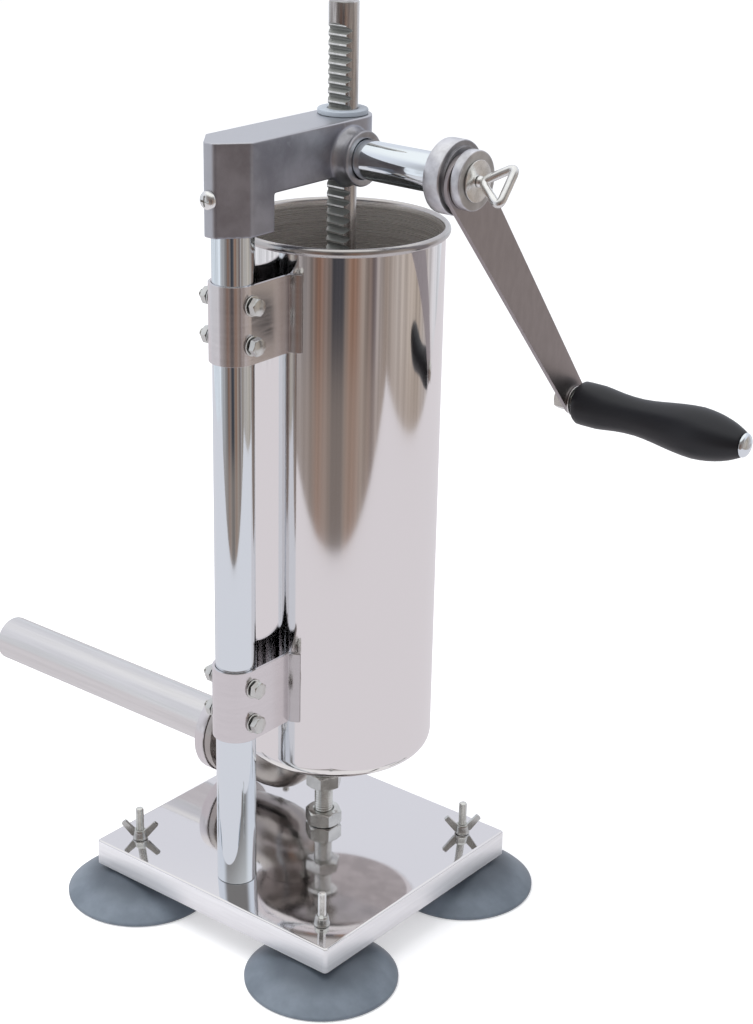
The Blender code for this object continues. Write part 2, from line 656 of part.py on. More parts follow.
def clamps():
    low = -CLAMP_HEIGHT / 2
    for name, middle in (("clamp_upper", CLAMP_UPPER_Z), ("clamp_lower", CLAMP_LOWER_Z)):
        strap = place(name, extruded(clamp_outline(), low, -low), "satin_steel", (0, 0, middle))
        for shift in (CLAMP_BOLT_PITCH / 2, -CLAMP_BOLT_PITCH / 2):
            cut(strap, rod_tool(CLAMP_BOLT_RADIUS + GAP, -CLAMP_FLANGE_X, CLAMP_FLANGE_X,
                                (0, COLUMN_Y, middle + shift), FACE_X, 8))
    seat = CLAMP_HALF_GRIP + GAP
    flat = seat + CLAMP_WASHER_SHEET
    head = flat + CLAMP_SPRING_SHEET
    nut_seat = -seat
    nut_flat = nut_seat - CLAMP_WASHER_SHEET
    nut_base = nut_flat - CLAMP_SPRING_SHEET
    nut_end = nut_base - CLAMP_NUT_HEIGHT
    bore = CLAMP_BOLT_RADIUS + GAP / 2
    for name, height in clamp_heights():
        place("clamp_bolt_" + name,
              turned([(nut_end - CLAMP_BOLT_TAIL, CLAMP_BOLT_RADIUS * 0.85),
                      (nut_end - CLAMP_BOLT_TAIL * 0.8, CLAMP_BOLT_RADIUS), (seat, CLAMP_BOLT_RADIUS),
                      (seat, CLAMP_WASHER_RADIUS), (flat, CLAMP_WASHER_RADIUS), (flat, CLAMP_SPRING_RADIUS),
                      (head, CLAMP_SPRING_RADIUS), (head, CLAMP_BOLT_FLATS, 6),
                      (head + CLAMP_BOLT_HEAD * 0.8, CLAMP_BOLT_FLATS, 6),
                      (head + CLAMP_BOLT_HEAD, CLAMP_BOLT_FLATS * 0.9)], SMALL_SIDES),
              "zinc", (0, COLUMN_Y, height), FACE_X)
        place("clamp_nut_" + name,
              turned([(nut_seat, CLAMP_WASHER_RADIUS), (nut_flat, CLAMP_WASHER_RADIUS),
                      (nut_flat, CLAMP_SPRING_RADIUS), (nut_base, CLAMP_SPRING_RADIUS),
                      (nut_base, CLAMP_BOLT_FLATS, 6),
                      (nut_end + CLAMP_BOLT_TAIL * 0.2, CLAMP_BOLT_FLATS, 6), (nut_end, CLAMP_BOLT_FLATS * 0.9),
                      (nut_end, bore), (nut_seat, bore)], SMALL_SIDES, closed=True),
              "zinc", (0, COLUMN_Y, height), FACE_X)


def hex_nut(name, low, height, flats, bore, at, finish="zinc"):
    edge = height * 0.12
    place(name, turned([(low, flats * 0.95), (low + edge, flats, 6), (low + height - edge, flats, 6),
                        (low + height, flats * 0.95), (low + height, bore), (low, bore)],
                       SMALL_SIDES, closed=True), finish, at)


def support():
    at = (SUPPORT_X, SUPPORT_Y, 0)
    top = BARREL_BOTTOM - GAP
    place("support_stud", turned([(-SUPPORT_REACH, SUPPORT_RADIUS * 0.9),
                                  (-SUPPORT_REACH * 0.95, SUPPORT_RADIUS),
                                  (top - SUPPORT_PAD_SHEET, SUPPORT_RADIUS),
                                  (top - SUPPORT_PAD_SHEET, SUPPORT_PAD_RADIUS),
                                  (top, SUPPORT_PAD_RADIUS)], SMALL_SIDES), "zinc", at)
    bore = SUPPORT_RADIUS + GAP / 2
    hex_nut("support_nut", GAP, SUPPORT_NUT_HEIGHT, SUPPORT_FLATS, bore, at)
    hex_nut("support_jam_nut", SUPPORT_JAM_Z, SUPPORT_JAM_HEIGHT, SUPPORT_FLATS, bore, at)
    hex_nut("support_under_nut", -BASE_SHEET - GAP - SUPPORT_JAM_HEIGHT, SUPPORT_JAM_HEIGHT,
            SUPPORT_FLATS, bore, at)


def head_plan(back):
    """Front face, two long chamfers, straight sides; back is a list of the rear points."""
    front = COLUMN_Y - HEAD_FRONT
    shoulder = front + HEAD_CHAMFER_LENGTH
    return [(-HEAD_FRONT_HALF, front), (HEAD_FRONT_HALF, front), (HEAD_HALF_WIDTH, shoulder)] + back + [
        (-HEAD_HALF_WIDTH, shoulder)]


def head_casting():
    rear = arc(HEAD_HALF_WIDTH, 0, 180, 12, (0, BARREL_Y))
    block_back = COLUMN_Y + HEAD_BLOCK_BACK
    head = place("head_casting", extruded(head_plan(rear), HEAD_ARM_BOTTOM, HEAD_TOP), "cast_aluminium")
    column_block = head_plan([(HEAD_HALF_WIDTH, block_back), (-HEAD_HALF_WIDTH, block_back)])
    join(head, tool(extruded(column_block, HEAD_BLOCK_BOTTOM, HEAD_ARM_BOTTOM + OVERRUN)))
    axis = (0, SHAFT_Y, SHAFT_Z)
    boss = [(-HEAD_HALF_WIDTH + OVERRUN, BOSS_RADIUS), (BOSS_REACH - BOSS_LIP, BOSS_RADIUS),
            (BOSS_REACH - BOSS_LIP, BOSS_LIP_RADIUS), (BOSS_REACH, BOSS_LIP_RADIUS)]
    join(head, tool(turned(boss, ROUND_SIDES), axis, FACE_X))
    cut(head, rod_tool(COLUMN_RADIUS + GAP, HEAD_BLOCK_BOTTOM - OVERRUN, COLUMN_TOP + GAP,
                       (0, COLUMN_Y, 0), sides=ROUND_SIDES))
    chamber = PITCH_RADIUS + PINION_ADDENDUM + CHAMBER_GAP
    half = PINION_WIDTH / 2 + GAP
    journal = JOURNAL_RADIUS + GAP + BEARING_WALL + GAP
    cut(head, tool(turned([(-half - JOURNAL_LENGTH - SHAFT_TAIL_GAP, journal), (-half, journal),
                           (-half, chamber), (BOSS_REACH - SLEEVE_SEAT, chamber),
                           (BOSS_REACH - SLEEVE_SEAT, SLEEVE_RADIUS + GAP),
                           (BOSS_REACH + OVERRUN, SLEEVE_RADIUS + GAP)], ROUND_SIDES), axis, FACE_X))
    seat = BUSH_RADIUS + GAP
    bush_low = HEAD_TOP - BUSH_LENGTH - GAP
    cut(head, tool(turned([(SHAFT_Z - BOSS_LIP_RADIUS - OVERRUN, RACK_RADIUS + GAP), (bush_low, RACK_RADIUS + GAP),
                           (bush_low, seat), (HEAD_TOP + OVERRUN, seat)], ROUND_SIDES), (0, BARREL_Y, 0)))
    cut(head, rod_tool(HEAD_SCREW_RADIUS + GAP, 0, HEAD_FRONT + OVERRUN, (0, COLUMN_Y, HEAD_SCREW_Z),
                       FACE_MINUS_Y, 16))


def head_screw():
    front = COLUMN_Y - HEAD_FRONT - GAP
    dome = [(HEAD_SCREW_HEAD * math.sin(math.radians(turn)),
             HEAD_SCREW_HEAD_RADIUS * math.cos(math.radians(turn))) for turn in (0, 30, 55, 75)]
    screw = place("head_screw", turned([(-HEAD_SCREW_REACH, HEAD_SCREW_RADIUS), (0, HEAD_SCREW_RADIUS)] + dome,
                                       SMALL_SIDES), "zinc", (0, front, HEAD_SCREW_Z), FACE_MINUS_Y)
    slot = HEAD_SCREW_HEAD_RADIUS * 0.55
    wide = HEAD_SCREW_HEAD_RADIUS * 0.13
    cross = [(slot, wide), (wide, wide), (wide, slot), (-wide, slot), (-wide, wide), (-slot, wide),
             (-slot, -wide), (-wide, -wide), (-wide, -slot), (wide, -slot), (wide, -wide), (slot, -wide)]
    cut(screw, tool(extruded(cross, HEAD_SCREW_HEAD * 0.55, HEAD_SCREW_HEAD + OVERRUN),
                    (0, front, HEAD_SCREW_Z), FACE_MINUS_Y))


def guide_bush():
    bore = RACK_RADIUS + GAP
    low = HEAD_TOP - BUSH_LENGTH
    seat = HEAD_TOP + GAP
    top = seat + BUSH_FLANGE
    upper = [(low, BUSH_RADIUS), (seat, BUSH_RADIUS), (seat, BUSH_FLANGE_RADIUS),
             (top - BUSH_EDGE, BUSH_FLANGE_RADIUS), (top, BUSH_FLANGE_RADIUS - BUSH_EDGE), (top, bore), (low, bore)]
    place("guide_bush", turned(upper, ROUND_SIDES, closed=True), "nylon", (0, BARREL_Y, 0))


def rack_gap_heights():
    """Heights of the gaps between the teeth, from the top tooth down."""
    first = RACK_TOP - RACK_PLAIN_TOP
    count = int((first - RACK_BOTTOM - PISTON_SEAT - RACK_PLAIN_FOOT) / TOOTH_PITCH)
    return [first - TOOTH_PITCH * (index + 0.5) for index in range(count)]


def rack():
    length = RACK_TOP - RACK_BOTTOM
    rod = place("rack_rod", turned([(-length, RACK_RADIUS), (-RACK_CHAMFER, RACK_RADIUS),
                                    (0, RACK_RADIUS - RACK_CHAMFER)], 16),
                "rack_steel", (0, BARREL_Y, RACK_TOP))
    outside = -RACK_RADIUS - OVERRUN
    face = -RACK_FACE
    root = face + RACK_ADDENDUM + RACK_DEDENDUM
    slope = math.tan(PRESSURE_ANGLE)
    half_pitch = TOOTH_PITCH / 4 + TOOTH_BACKLASH
    half_face = half_pitch + RACK_ADDENDUM * slope
    half_root = half_pitch - RACK_DEDENDUM * slope
    gaps = rack_gap_heights()
    top = RACK_TOP + OVERRUN
    flat_top = gaps[0] + TOOTH_PITCH / 2
    flat_foot = gaps[-1] - TOOTH_PITCH / 2
    side = [(outside, flat_top + RACK_FACE / 2), (face, flat_top)]
    for height in gaps:
        side += [(face, height + half_face), (root, height + half_root),
                 (root, height - half_root), (face, height - half_face)]
    side += [(face, flat_foot), (outside, flat_foot - RACK_FACE / 2)]
    comb = [(y, height - top) for y, height in side]
    # The comb's outline lies in the YZ plane, so the prism is turned to run along X
    body = loft([[(x, y, height + top) for y, height in comb] for x in (-RACK_RADIUS - OVERRUN,
                                                                       RACK_RADIUS + OVERRUN)])
    cut(rod, tool(body, (0, BARREL_Y, 0)))
    cut(rod, rod_tool(PISTON_SCREW_RADIUS + GAP, -length - OVERRUN, -length + PISTON_SCREW_REACH + GAP,
                      (0, BARREL_Y, RACK_TOP), sides=16))
    return rod


def piston():
    base = PISTON_BOTTOM
    top = base + PISTON_HEIGHT
    foot = BARREL_CORNER - BARREL_WALL
    groove_low = base + foot + PISTON_LAND
    groove_high = groove_low + SEAL_HEIGHT
    inner = PISTON_RADIUS - SEAL_DEPTH
    # The lower edge is rounded as the barrel's floor is, so that the piston empties it
    outline = [(base + foot * (1 - math.sin(math.radians(turn))),
                PISTON_RADIUS - foot * (1 - math.cos(math.radians(turn)))) for turn in (90, 60, 30, 0)]
    outline += [(groove_low, PISTON_RADIUS), (groove_low, inner), (groove_high, inner),
               (groove_high, PISTON_RADIUS), (top - PISTON_EDGE, PISTON_RADIUS),
               (top, PISTON_RADIUS - PISTON_EDGE)]
    disc = place("piston_disc", turned(outline, FINE_SIDES), "nylon", (0, BARREL_Y, 0))
    seat = top - PISTON_SEAT
    cut(disc, rod_tool(RACK_RADIUS + GAP, seat - GAP, top + OVERRUN, (0, BARREL_Y, 0), sides=ROUND_SIDES))
    sink = PISTON_SCREW_HEAD
    cone = [(base - OVERRUN, PISTON_SCREW_HEAD_RADIUS + OVERRUN + GAP), (base, PISTON_SCREW_HEAD_RADIUS + GAP),
            (base + sink, PISTON_SCREW_RADIUS + GAP), (seat + OVERRUN, PISTON_SCREW_RADIUS + GAP)]
    cut(disc, tool(turned(cone, SMALL_SIDES), (0, BARREL_Y, 0)))
    screw = [(base + GAP, PISTON_SCREW_HEAD_RADIUS - GAP), (base + sink, PISTON_SCREW_RADIUS),
             (seat + PISTON_SCREW_REACH, PISTON_SCREW_RADIUS)]
    place("piston_screw", turned(screw, SMALL_SIDES), "zinc", (0, BARREL_Y, 0))
    outer = BORE_RADIUS - SEAL_CLEARANCE
    low = groove_low + GAP
    high = groove_high - GAP
    crown = (high - low) / 4
    place("piston_seal", turned([(low, inner + GAP), (low, outer - crown), (low + crown, outer),
                                 (high - crown, outer), (high, outer - crown), (high, inner + GAP)],
                                FINE_SIDES, closed=True), "seal_rubber", (0, BARREL_Y, 0))


def pinion_outline():
    """Involute teeth with flanks thinned for backlash, one tooth turned into mesh with the rack."""
    base = PITCH_RADIUS * math.cos(PRESSURE_ANGLE)
    root = PITCH_RADIUS - PINION_DEDENDUM
    tip = PITCH_RADIUS + PINION_ADDENDUM

    def involute(radius):
        angle = math.acos(base / radius)
        return math.tan(angle) - angle

    half = math.pi / (2 * PINION_TEETH) - TOOTH_BACKLASH / PITCH_RADIUS + involute(PITCH_RADIUS)
    radii = [base + (tip - base) * step / FLANK_STEPS for step in range(FLANK_STEPS + 1)]
    flank = [(root, half)] + [(radius, half - involute(radius)) for radius in radii]
    nearest = min(rack_gap_heights(), key=lambda height: abs(height - SHAFT_Z))
    mesh_turn = math.pi / 2 + (nearest - SHAFT_Z) / PITCH_RADIUS
    points = []
    for tooth in range(PINION_TEETH):
        middle = mesh_turn + math.tau * tooth / PINION_TEETH
        turns = [(radius, middle - angle) for radius, angle in flank]
        turns += [(radius, middle + angle) for radius, angle in reversed(flank)]
        points += [(radius * math.cos(angle), radius * math.sin(angle)) for radius, angle in turns]
    return points


def pinion_shaft():
    half = PINION_WIDTH / 2
    inner = half - OVERRUN / 2
    flats_end = HUB_END - SHAFT_TAIL_GAP
    lower_end = ARM_X - GAP - SHAFT_TAIL_GAP
    shaft = [(-half - JOURNAL_LENGTH, JOURNAL_RADIUS), (inner, JOURNAL_RADIUS), (inner, SHAFT_RADIUS),
             (lower_end, SHAFT_RADIUS), (lower_end, SHAFT_SQUARE, 4), (flats_end, SHAFT_SQUARE, 4)]
    axis = (0, SHAFT_Y, SHAFT_Z)
    piece = place("pinion_shaft", turned(shaft, ROUND_SIDES), "rack_steel", axis, FACE_X)
    # Local X of a piece that faces +X points down, so a quarter turn sets the first tooth to the rack
    join(piece, tool(extruded(pinion_outline(), -half, half), axis, FACE_X))
    cut(piece, rod_tool(THUMB_RADIUS + GAP, flats_end - THUMB_REACH - GAP, flats_end + OVERRUN, axis, FACE_X, 16))


def shaft_housing():
    axis = (0, SHAFT_Y, SHAFT_Z)
    half = PINION_WIDTH / 2 + GAP
    inner_bore = JOURNAL_RADIUS + GAP
    outer = inner_bore + BEARING_WALL
    low = -half - JOURNAL_LENGTH
    place("journal_bush", turned([(low, outer), (-half - GAP, outer), (-half - GAP, inner_bore), (low, inner_bore)],
                                 ROUND_SIDES, closed=True), "bearing_plastic", axis, FACE_X)
    start = BOSS_REACH - SLEEVE_SEAT + GAP
    end = COLLAR_X + COLLAR_SEAT
    bore = SLEEVE_RADIUS - SLEEVE_WALL
    place("sleeve_tube", turned([(start, SLEEVE_RADIUS), (end, SLEEVE_RADIUS), (end, bore), (start, bore)],
                                ROUND_SIDES, closed=True), "chrome", axis, FACE_X)
    bush_bore = SHAFT_RADIUS + GAP
    bush_outer = bush_bore + COLLAR_BUSH_WALL
    front = COLLAR_X + COLLAR_LENGTH
    groove = front - COLLAR_GROOVE
    collar = [(COLLAR_X, SLEEVE_RADIUS + GAP), (COLLAR_X, COLLAR_RADIUS - COLLAR_EDGE),
              (COLLAR_X + COLLAR_EDGE, COLLAR_RADIUS), (groove - COLLAR_EDGE, COLLAR_RADIUS),
              (groove, COLLAR_RADIUS - COLLAR_EDGE), (groove, COLLAR_STEP_RADIUS), (front, COLLAR_STEP_RADIUS),
              (front, bush_outer + GAP), (end + GAP, bush_outer + GAP), (end + GAP, SLEEVE_RADIUS + GAP)]
    place("bearing_collar", turned(collar, ROUND_SIDES, closed=True), "turned_aluminium", axis, FACE_X)
    place("collar_bush", turned([(end + 2 * GAP, bush_outer), (front, bush_outer), (front, bush_bore),
                                 (end + 2 * GAP, bush_bore)], ROUND_SIDES, closed=True),
          "bearing_plastic", axis, FACE_X)


def arm_outline():
    """Tapered bar with round ends, from the hub at the origin along +Y, a little off centre."""
    hub = arc(ARM_HUB_HALF, 180, 360, 12, (ARM_HUB_SHIFT, 0))
    tip = arc(ARM_TIP_HALF, 0, 180, 10, (ARM_TIP_SHIFT, ARM_LENGTH))
    return hub + tip


def square_tool(size, low, high, at):
    return tool(turned([(low, size, 4), (high, size, 4)], SMALL_SIDES), at, FACE_X)


def crank():
    axis = (0, SHAFT_Y, SHAFT_Z)
    square = SHAFT_SQUARE + GAP
    # The outline's +Y is first laid along +X, then the bar is stood on edge at the crank's angle
    body = extruded(arm_outline(), 0, ARM_SHEET)
    for vertex in body.verts:
        along, across, thick = vertex.co.y, vertex.co.x, vertex.co.z
        vertex.co = (thick,
                     along * math.sin(ARM_ANGLE) + across * math.cos(ARM_ANGLE),
                     -along * math.cos(ARM_ANGLE) + across * math.sin(ARM_ANGLE))
    arm = place("crank_arm", body, "satin_steel", (ARM_X, SHAFT_Y, SHAFT_Z))
    cut(arm, square_tool(square, ARM_X - OVERRUN, HUB_X + OVERRUN, axis))
    cut(arm, rod_tool(SPINDLE_RADIUS + GAP, ARM_X - OVERRUN, HUB_X + OVERRUN, (0, GRIP_Y, GRIP_Z), FACE_X))
    hub = [(HUB_X, square, 4), (HUB_X, HUB_RADIUS), (HUB_END - HUB_EDGE, HUB_RADIUS),
           (HUB_END, HUB_RADIUS - HUB_EDGE), (HUB_END, square, 4)]
    place("crank_hub", turned(hub, ROUND_SIDES, closed=True), "turned_aluminium", axis, FACE_X)
    hole = THUMB_RADIUS + GAP
    low = HUB_END + GAP
    place("hub_washer", turned([(low, HUB_WASHER_RADIUS), (WASHER_END, HUB_WASHER_RADIUS), (WASHER_END, hole),
                                (low, hole)], SMALL_SIDES, closed=True), "zinc", axis, FACE_X)


def thumb_loop_path():
    """Closed triangle with rounded corners, its apex at the screw."""
    corners = [(0, 0), (THUMB_LOOP_HALF, THUMB_LOOP_DEPTH), (-THUMB_LOOP_HALF, THUMB_LOOP_DEPTH)]
    path = []
    for index, corner in enumerate(corners):
        before = corners[index - 1]
        after = corners[(index + 1) % 3]
        near = math.dist(before, corner)
        far = math.dist(corner, after)
        start = [corner[axis] + (before[axis] - corner[axis]) * THUMB_LOOP_BEND / near for axis in (0, 1)]
        end = [corner[axis] + (after[axis] - corner[axis]) * THUMB_LOOP_BEND / far for axis in (0, 1)]
        for share in (0, 0.25, 0.5, 0.75, 1):
            path.append(tuple(start[axis] * (1 - share) ** 2 + corner[axis] * 2 * share * (1 - share)
                              + end[axis] * share ** 2 for axis in (0, 1)))
    return path


def wire_loop(path, radius, sides):
    """Closed wire along a flat path, each ring half way between the directions beside it."""
    rows = []
    for index, (x, height) in enumerate(path):
        before = path[index - 1]
        after = path[(index + 1) % len(path)]
        length = math.dist(before, after)
        side = ((before[1] - after[1]) / length, (after[0] - before[0]) / length)
        ring = []
        for step in range(sides):
            angle = math.tau * step / sides
            out = radius * math.cos(angle)
            ring.append((x + side[0] * out, radius * math.sin(angle), height + side[1] * out))
        rows.append(ring)
    return loft(rows, closed=True)


def thumb_screw():
    """Wire triangle welded to a screw that holds the crank on its square."""
    shoulder = GAP + THUMB_SHOULDER_LENGTH
    at = (WASHER_END, SHAFT_Y, SHAFT_Z)
    screw = place("thumb_screw", turned([(-THUMB_REACH, THUMB_RADIUS), (GAP, THUMB_RADIUS),
                                         (GAP, THUMB_SHOULDER), (shoulder, THUMB_SHOULDER)], 16),
                  "zinc", at, FACE_X)
    rise = THUMB_LOOP_BEND / 2 * THUMB_LOOP_DEPTH / math.hypot(THUMB_LOOP_DEPTH, THUMB_LOOP_HALF)
    lift = shoulder + THUMB_WIRE * 0.75 - rise
    path = [(x, height + lift) for x, height in thumb_loop_path()]
    loop = wire_loop(path, THUMB_WIRE, 10)
    turn = Matrix.Rotation(math.radians(THUMB_TURN_DEGREES), 3, "Z")
    bmesh.ops.rotate(loop, verts=loop.verts, matrix=turn)
    bmesh.ops.triangulate(loop, faces=loop.faces)
    join(screw, tool(loop, at, FACE_X))


def grip_radius(share):
    """Radius along the grip: a square shoulder, a waist, a belly and a round end."""
    if share > GRIP_BELLY_SHARE:
        past = (share - GRIP_BELLY_SHARE) / (1 - GRIP_BELLY_SHARE)
        return GRIP_BELLY_RADIUS - (GRIP_BELLY_RADIUS - GRIP_END_RADIUS) * past * past
    if share > GRIP_WAIST_SHARE:
        start, low, end, high = GRIP_WAIST_SHARE, GRIP_WAIST_RADIUS, GRIP_BELLY_SHARE, GRIP_BELLY_RADIUS
    elif share > GRIP_SHOULDER_SHARE:
        start, low, end, high = GRIP_SHOULDER_SHARE, GRIP_SHOULDER_RADIUS, GRIP_WAIST_SHARE, GRIP_WAIST_RADIUS
    else:
        return GRIP_SHOULDER_RADIUS
    blend = (share - start) / (end - start)
    return low + (high - low) * blend * blend * (3 - 2 * blend)


def grip_and_spindle():
    axis = (0, GRIP_Y, GRIP_Z)
    washer_end = GRIP_WASHER_X + GRIP_WASHER_SHEET
    hole = SPINDLE_RADIUS + GAP
    place("grip_washer", turned([(GRIP_WASHER_X, GRIP_WASHER_RADIUS), (washer_end, GRIP_WASHER_RADIUS),
                                 (washer_end, hole), (GRIP_WASHER_X, hole)], SMALL_SIDES, closed=True),
          "zinc", axis, FACE_X)
    shoulder = washer_end + GAP
    shoulder_end = shoulder + SPINDLE_SHOULDER
    nut_seat = ARM_X - GAP
    nut_end = nut_seat - SPINDLE_NUT_HEIGHT
    spindle = [(nut_end - SPINDLE_TAIL, SPINDLE_RADIUS), (shoulder, SPINDLE_RADIUS),
               (shoulder, SPINDLE_SHOULDER_RADIUS), (shoulder_end, SPINDLE_SHOULDER_RADIUS),
               (shoulder_end, SPINDLE_RADIUS), (CAP_X - CAP_NECK - GAP, SPINDLE_RADIUS)]
    place("grip_spindle", turned(spindle, SMALL_SIDES), "zinc", axis, FACE_X)
    edge = SPINDLE_NUT_HEIGHT * 0.12
    place("spindle_nut", turned([(nut_end, SPINDLE_NUT_FLATS * 0.92), (nut_end + edge, SPINDLE_NUT_FLATS, 6),
                                 (nut_seat - edge, SPINDLE_NUT_FLATS, 6), (nut_seat, SPINDLE_NUT_FLATS * 0.92),
                                 (nut_seat, hole), (nut_end, hole)], SMALL_SIDES, closed=True),
          "zinc", axis, FACE_X)
    steps = 11
    outer = [(GRIP_X + GRIP_LENGTH * step / steps, grip_radius(step / steps)) for step in range(1, steps + 1)]
    outer = [(GRIP_X, GRIP_SHOULDER_RADIUS - GRIP_EDGE), (GRIP_X + GRIP_EDGE, GRIP_SHOULDER_RADIUS)] + outer
    bore = SPINDLE_RADIUS + 2 * GAP
    neck = SPINDLE_SHOULDER_RADIUS / 2 + bore / 2
    place("grip", turned(outer + [(GRIP_END, neck), (GRIP_END - CAP_NECK, neck), (GRIP_END - CAP_NECK, bore),
                                  (GRIP_X, bore)], ROUND_SIDES, closed=True), "grip_plastic", axis, FACE_X)
    dome = [(CAP_X + CAP_HEIGHT * math.sin(math.radians(turn)), CAP_RADIUS * math.cos(math.radians(turn)))
            for turn in (0, 30, 60)] + [(CAP_X + CAP_HEIGHT, CAP_RADIUS * 0.2)]
    place("grip_cap", turned([(CAP_X - CAP_NECK, neck - GAP), (CAP_X, neck - GAP)] + dome, ROUND_SIDES),
          "chrome", axis, FACE_X)


clear_scene()
ASSEMBLY = bpy.data.objects.new("assembly", None)
bpy.context.collection.objects.link(ASSEMBLY)
ASSEMBLY.location = (-(BOX_LOW_X + BOX_HIGH_X) / 2, -(BOX_LOW_Y + BOX_HIGH_Y) / 2, PLATE_TOP)

base_plate()
cups_and_wing_nuts()
column()
barrel()
outlet_and_nozzle()
clamps()
support()
head_casting()
head_screw()
guide_bush()
rack()
piston()
pinion_shaft()
shaft_housing()
crank()
thumb_screw()
grip_and_spindle()
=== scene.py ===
"""Looks of a vertical sausage stuffer: polished steel, cast aluminium, zinc and rubber.

Shapes are drawn in millimetres from the bench point; piece() scales them to metres.
"""
import math

import bmesh
import bpy
from mathutils import Matrix, Vector


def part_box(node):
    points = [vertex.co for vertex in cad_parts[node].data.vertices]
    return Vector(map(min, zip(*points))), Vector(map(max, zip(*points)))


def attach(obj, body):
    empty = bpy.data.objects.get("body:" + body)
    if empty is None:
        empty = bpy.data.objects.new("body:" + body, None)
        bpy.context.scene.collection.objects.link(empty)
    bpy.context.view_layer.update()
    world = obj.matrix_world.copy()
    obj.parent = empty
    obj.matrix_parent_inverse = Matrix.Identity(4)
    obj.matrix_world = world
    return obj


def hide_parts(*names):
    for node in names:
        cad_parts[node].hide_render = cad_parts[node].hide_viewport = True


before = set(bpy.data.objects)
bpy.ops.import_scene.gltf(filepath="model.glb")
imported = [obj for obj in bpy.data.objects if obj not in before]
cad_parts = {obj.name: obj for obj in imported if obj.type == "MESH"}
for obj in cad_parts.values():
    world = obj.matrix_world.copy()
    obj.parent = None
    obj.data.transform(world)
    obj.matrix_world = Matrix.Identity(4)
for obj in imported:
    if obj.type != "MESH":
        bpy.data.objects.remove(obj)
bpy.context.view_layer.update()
MM = 0.001

# The bench point is the middle of the base plate's top face, as in the part's own drawing
plate_low, plate_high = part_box("base_plate")
BENCH = Vector(((plate_low.x + plate_high.x) / 2, (plate_low.y + plate_high.y) / 2, plate_high.z))
ALONG_X = Matrix.Rotation(math.pi / 2, 3, "Y")
ALONG_MINUS_Y = Matrix.Rotation(math.pi / 2, 3, "X")
UPRIGHT = Matrix.Identity(3)

COLUMN_Y = -71.6
COLUMN_RADIUS = 14
COLUMN_TOP = 522.5
BARREL_Y = 36.4
BARREL_RADIUS = 71.0
BARREL_WALL = 1.2
BARREL_LOW = 68.5
BARREL_CORNER = 12.0
BARREL_RIM = 457.8
HEAD_TOP = 533.7
HEAD_UNDER = 498.0
HEAD_BLOCK_UNDER = 473.2
HEAD_HALF_WIDTH = 19.5
HEAD_SCREW_Z = 497.5
BOSS_END = 31.8
SHAFT_Y = 21.4
SHAFT_Z = 510
ARM_LENGTH = 229
ARM_LEAN = math.radians(37.2)
GRIP_Y = SHAFT_Y + ARM_LENGTH * math.sin(ARM_LEAN)
GRIP_Z = SHAFT_Z - ARM_LENGTH * math.cos(ARM_LEAN)
TUBE_Z = 38.5
M6_RADIUS = 3.0
M6_PITCH = 1.0
M14_RADIUS = 7.0
M14_PITCH = 2.0


class Field:
    """A number that varies over a surface, kept as the socket that carries it."""

    def __init__(self, paint, socket):
        self.paint = paint
        self.socket = socket

    def _math(self, operation, other=0.0):
        return self.paint.node("ShaderNodeMath", {"operation": operation}, {0: self, 1: other})

    def __add__(self, other):
        return self._math("ADD", other)

    def __mul__(self, other):
        return self._math("MULTIPLY", other)

    def __truediv__(self, other):
        return self._math("DIVIDE", other)

    __radd__ = __add__
    __rmul__ = __mul__

    def size(self):
        return self._math("ABSOLUTE")

    def ramp_between(self, low, high, start=0.0, end=1.0):
        """Smooth step from start to end as the field goes from low to high."""
        return self.paint.node("ShaderNodeMapRange", {"interpolation_type": "SMOOTHSTEP"},
                               {0: self, 1: low, 2: high, 3: start, 4: end})


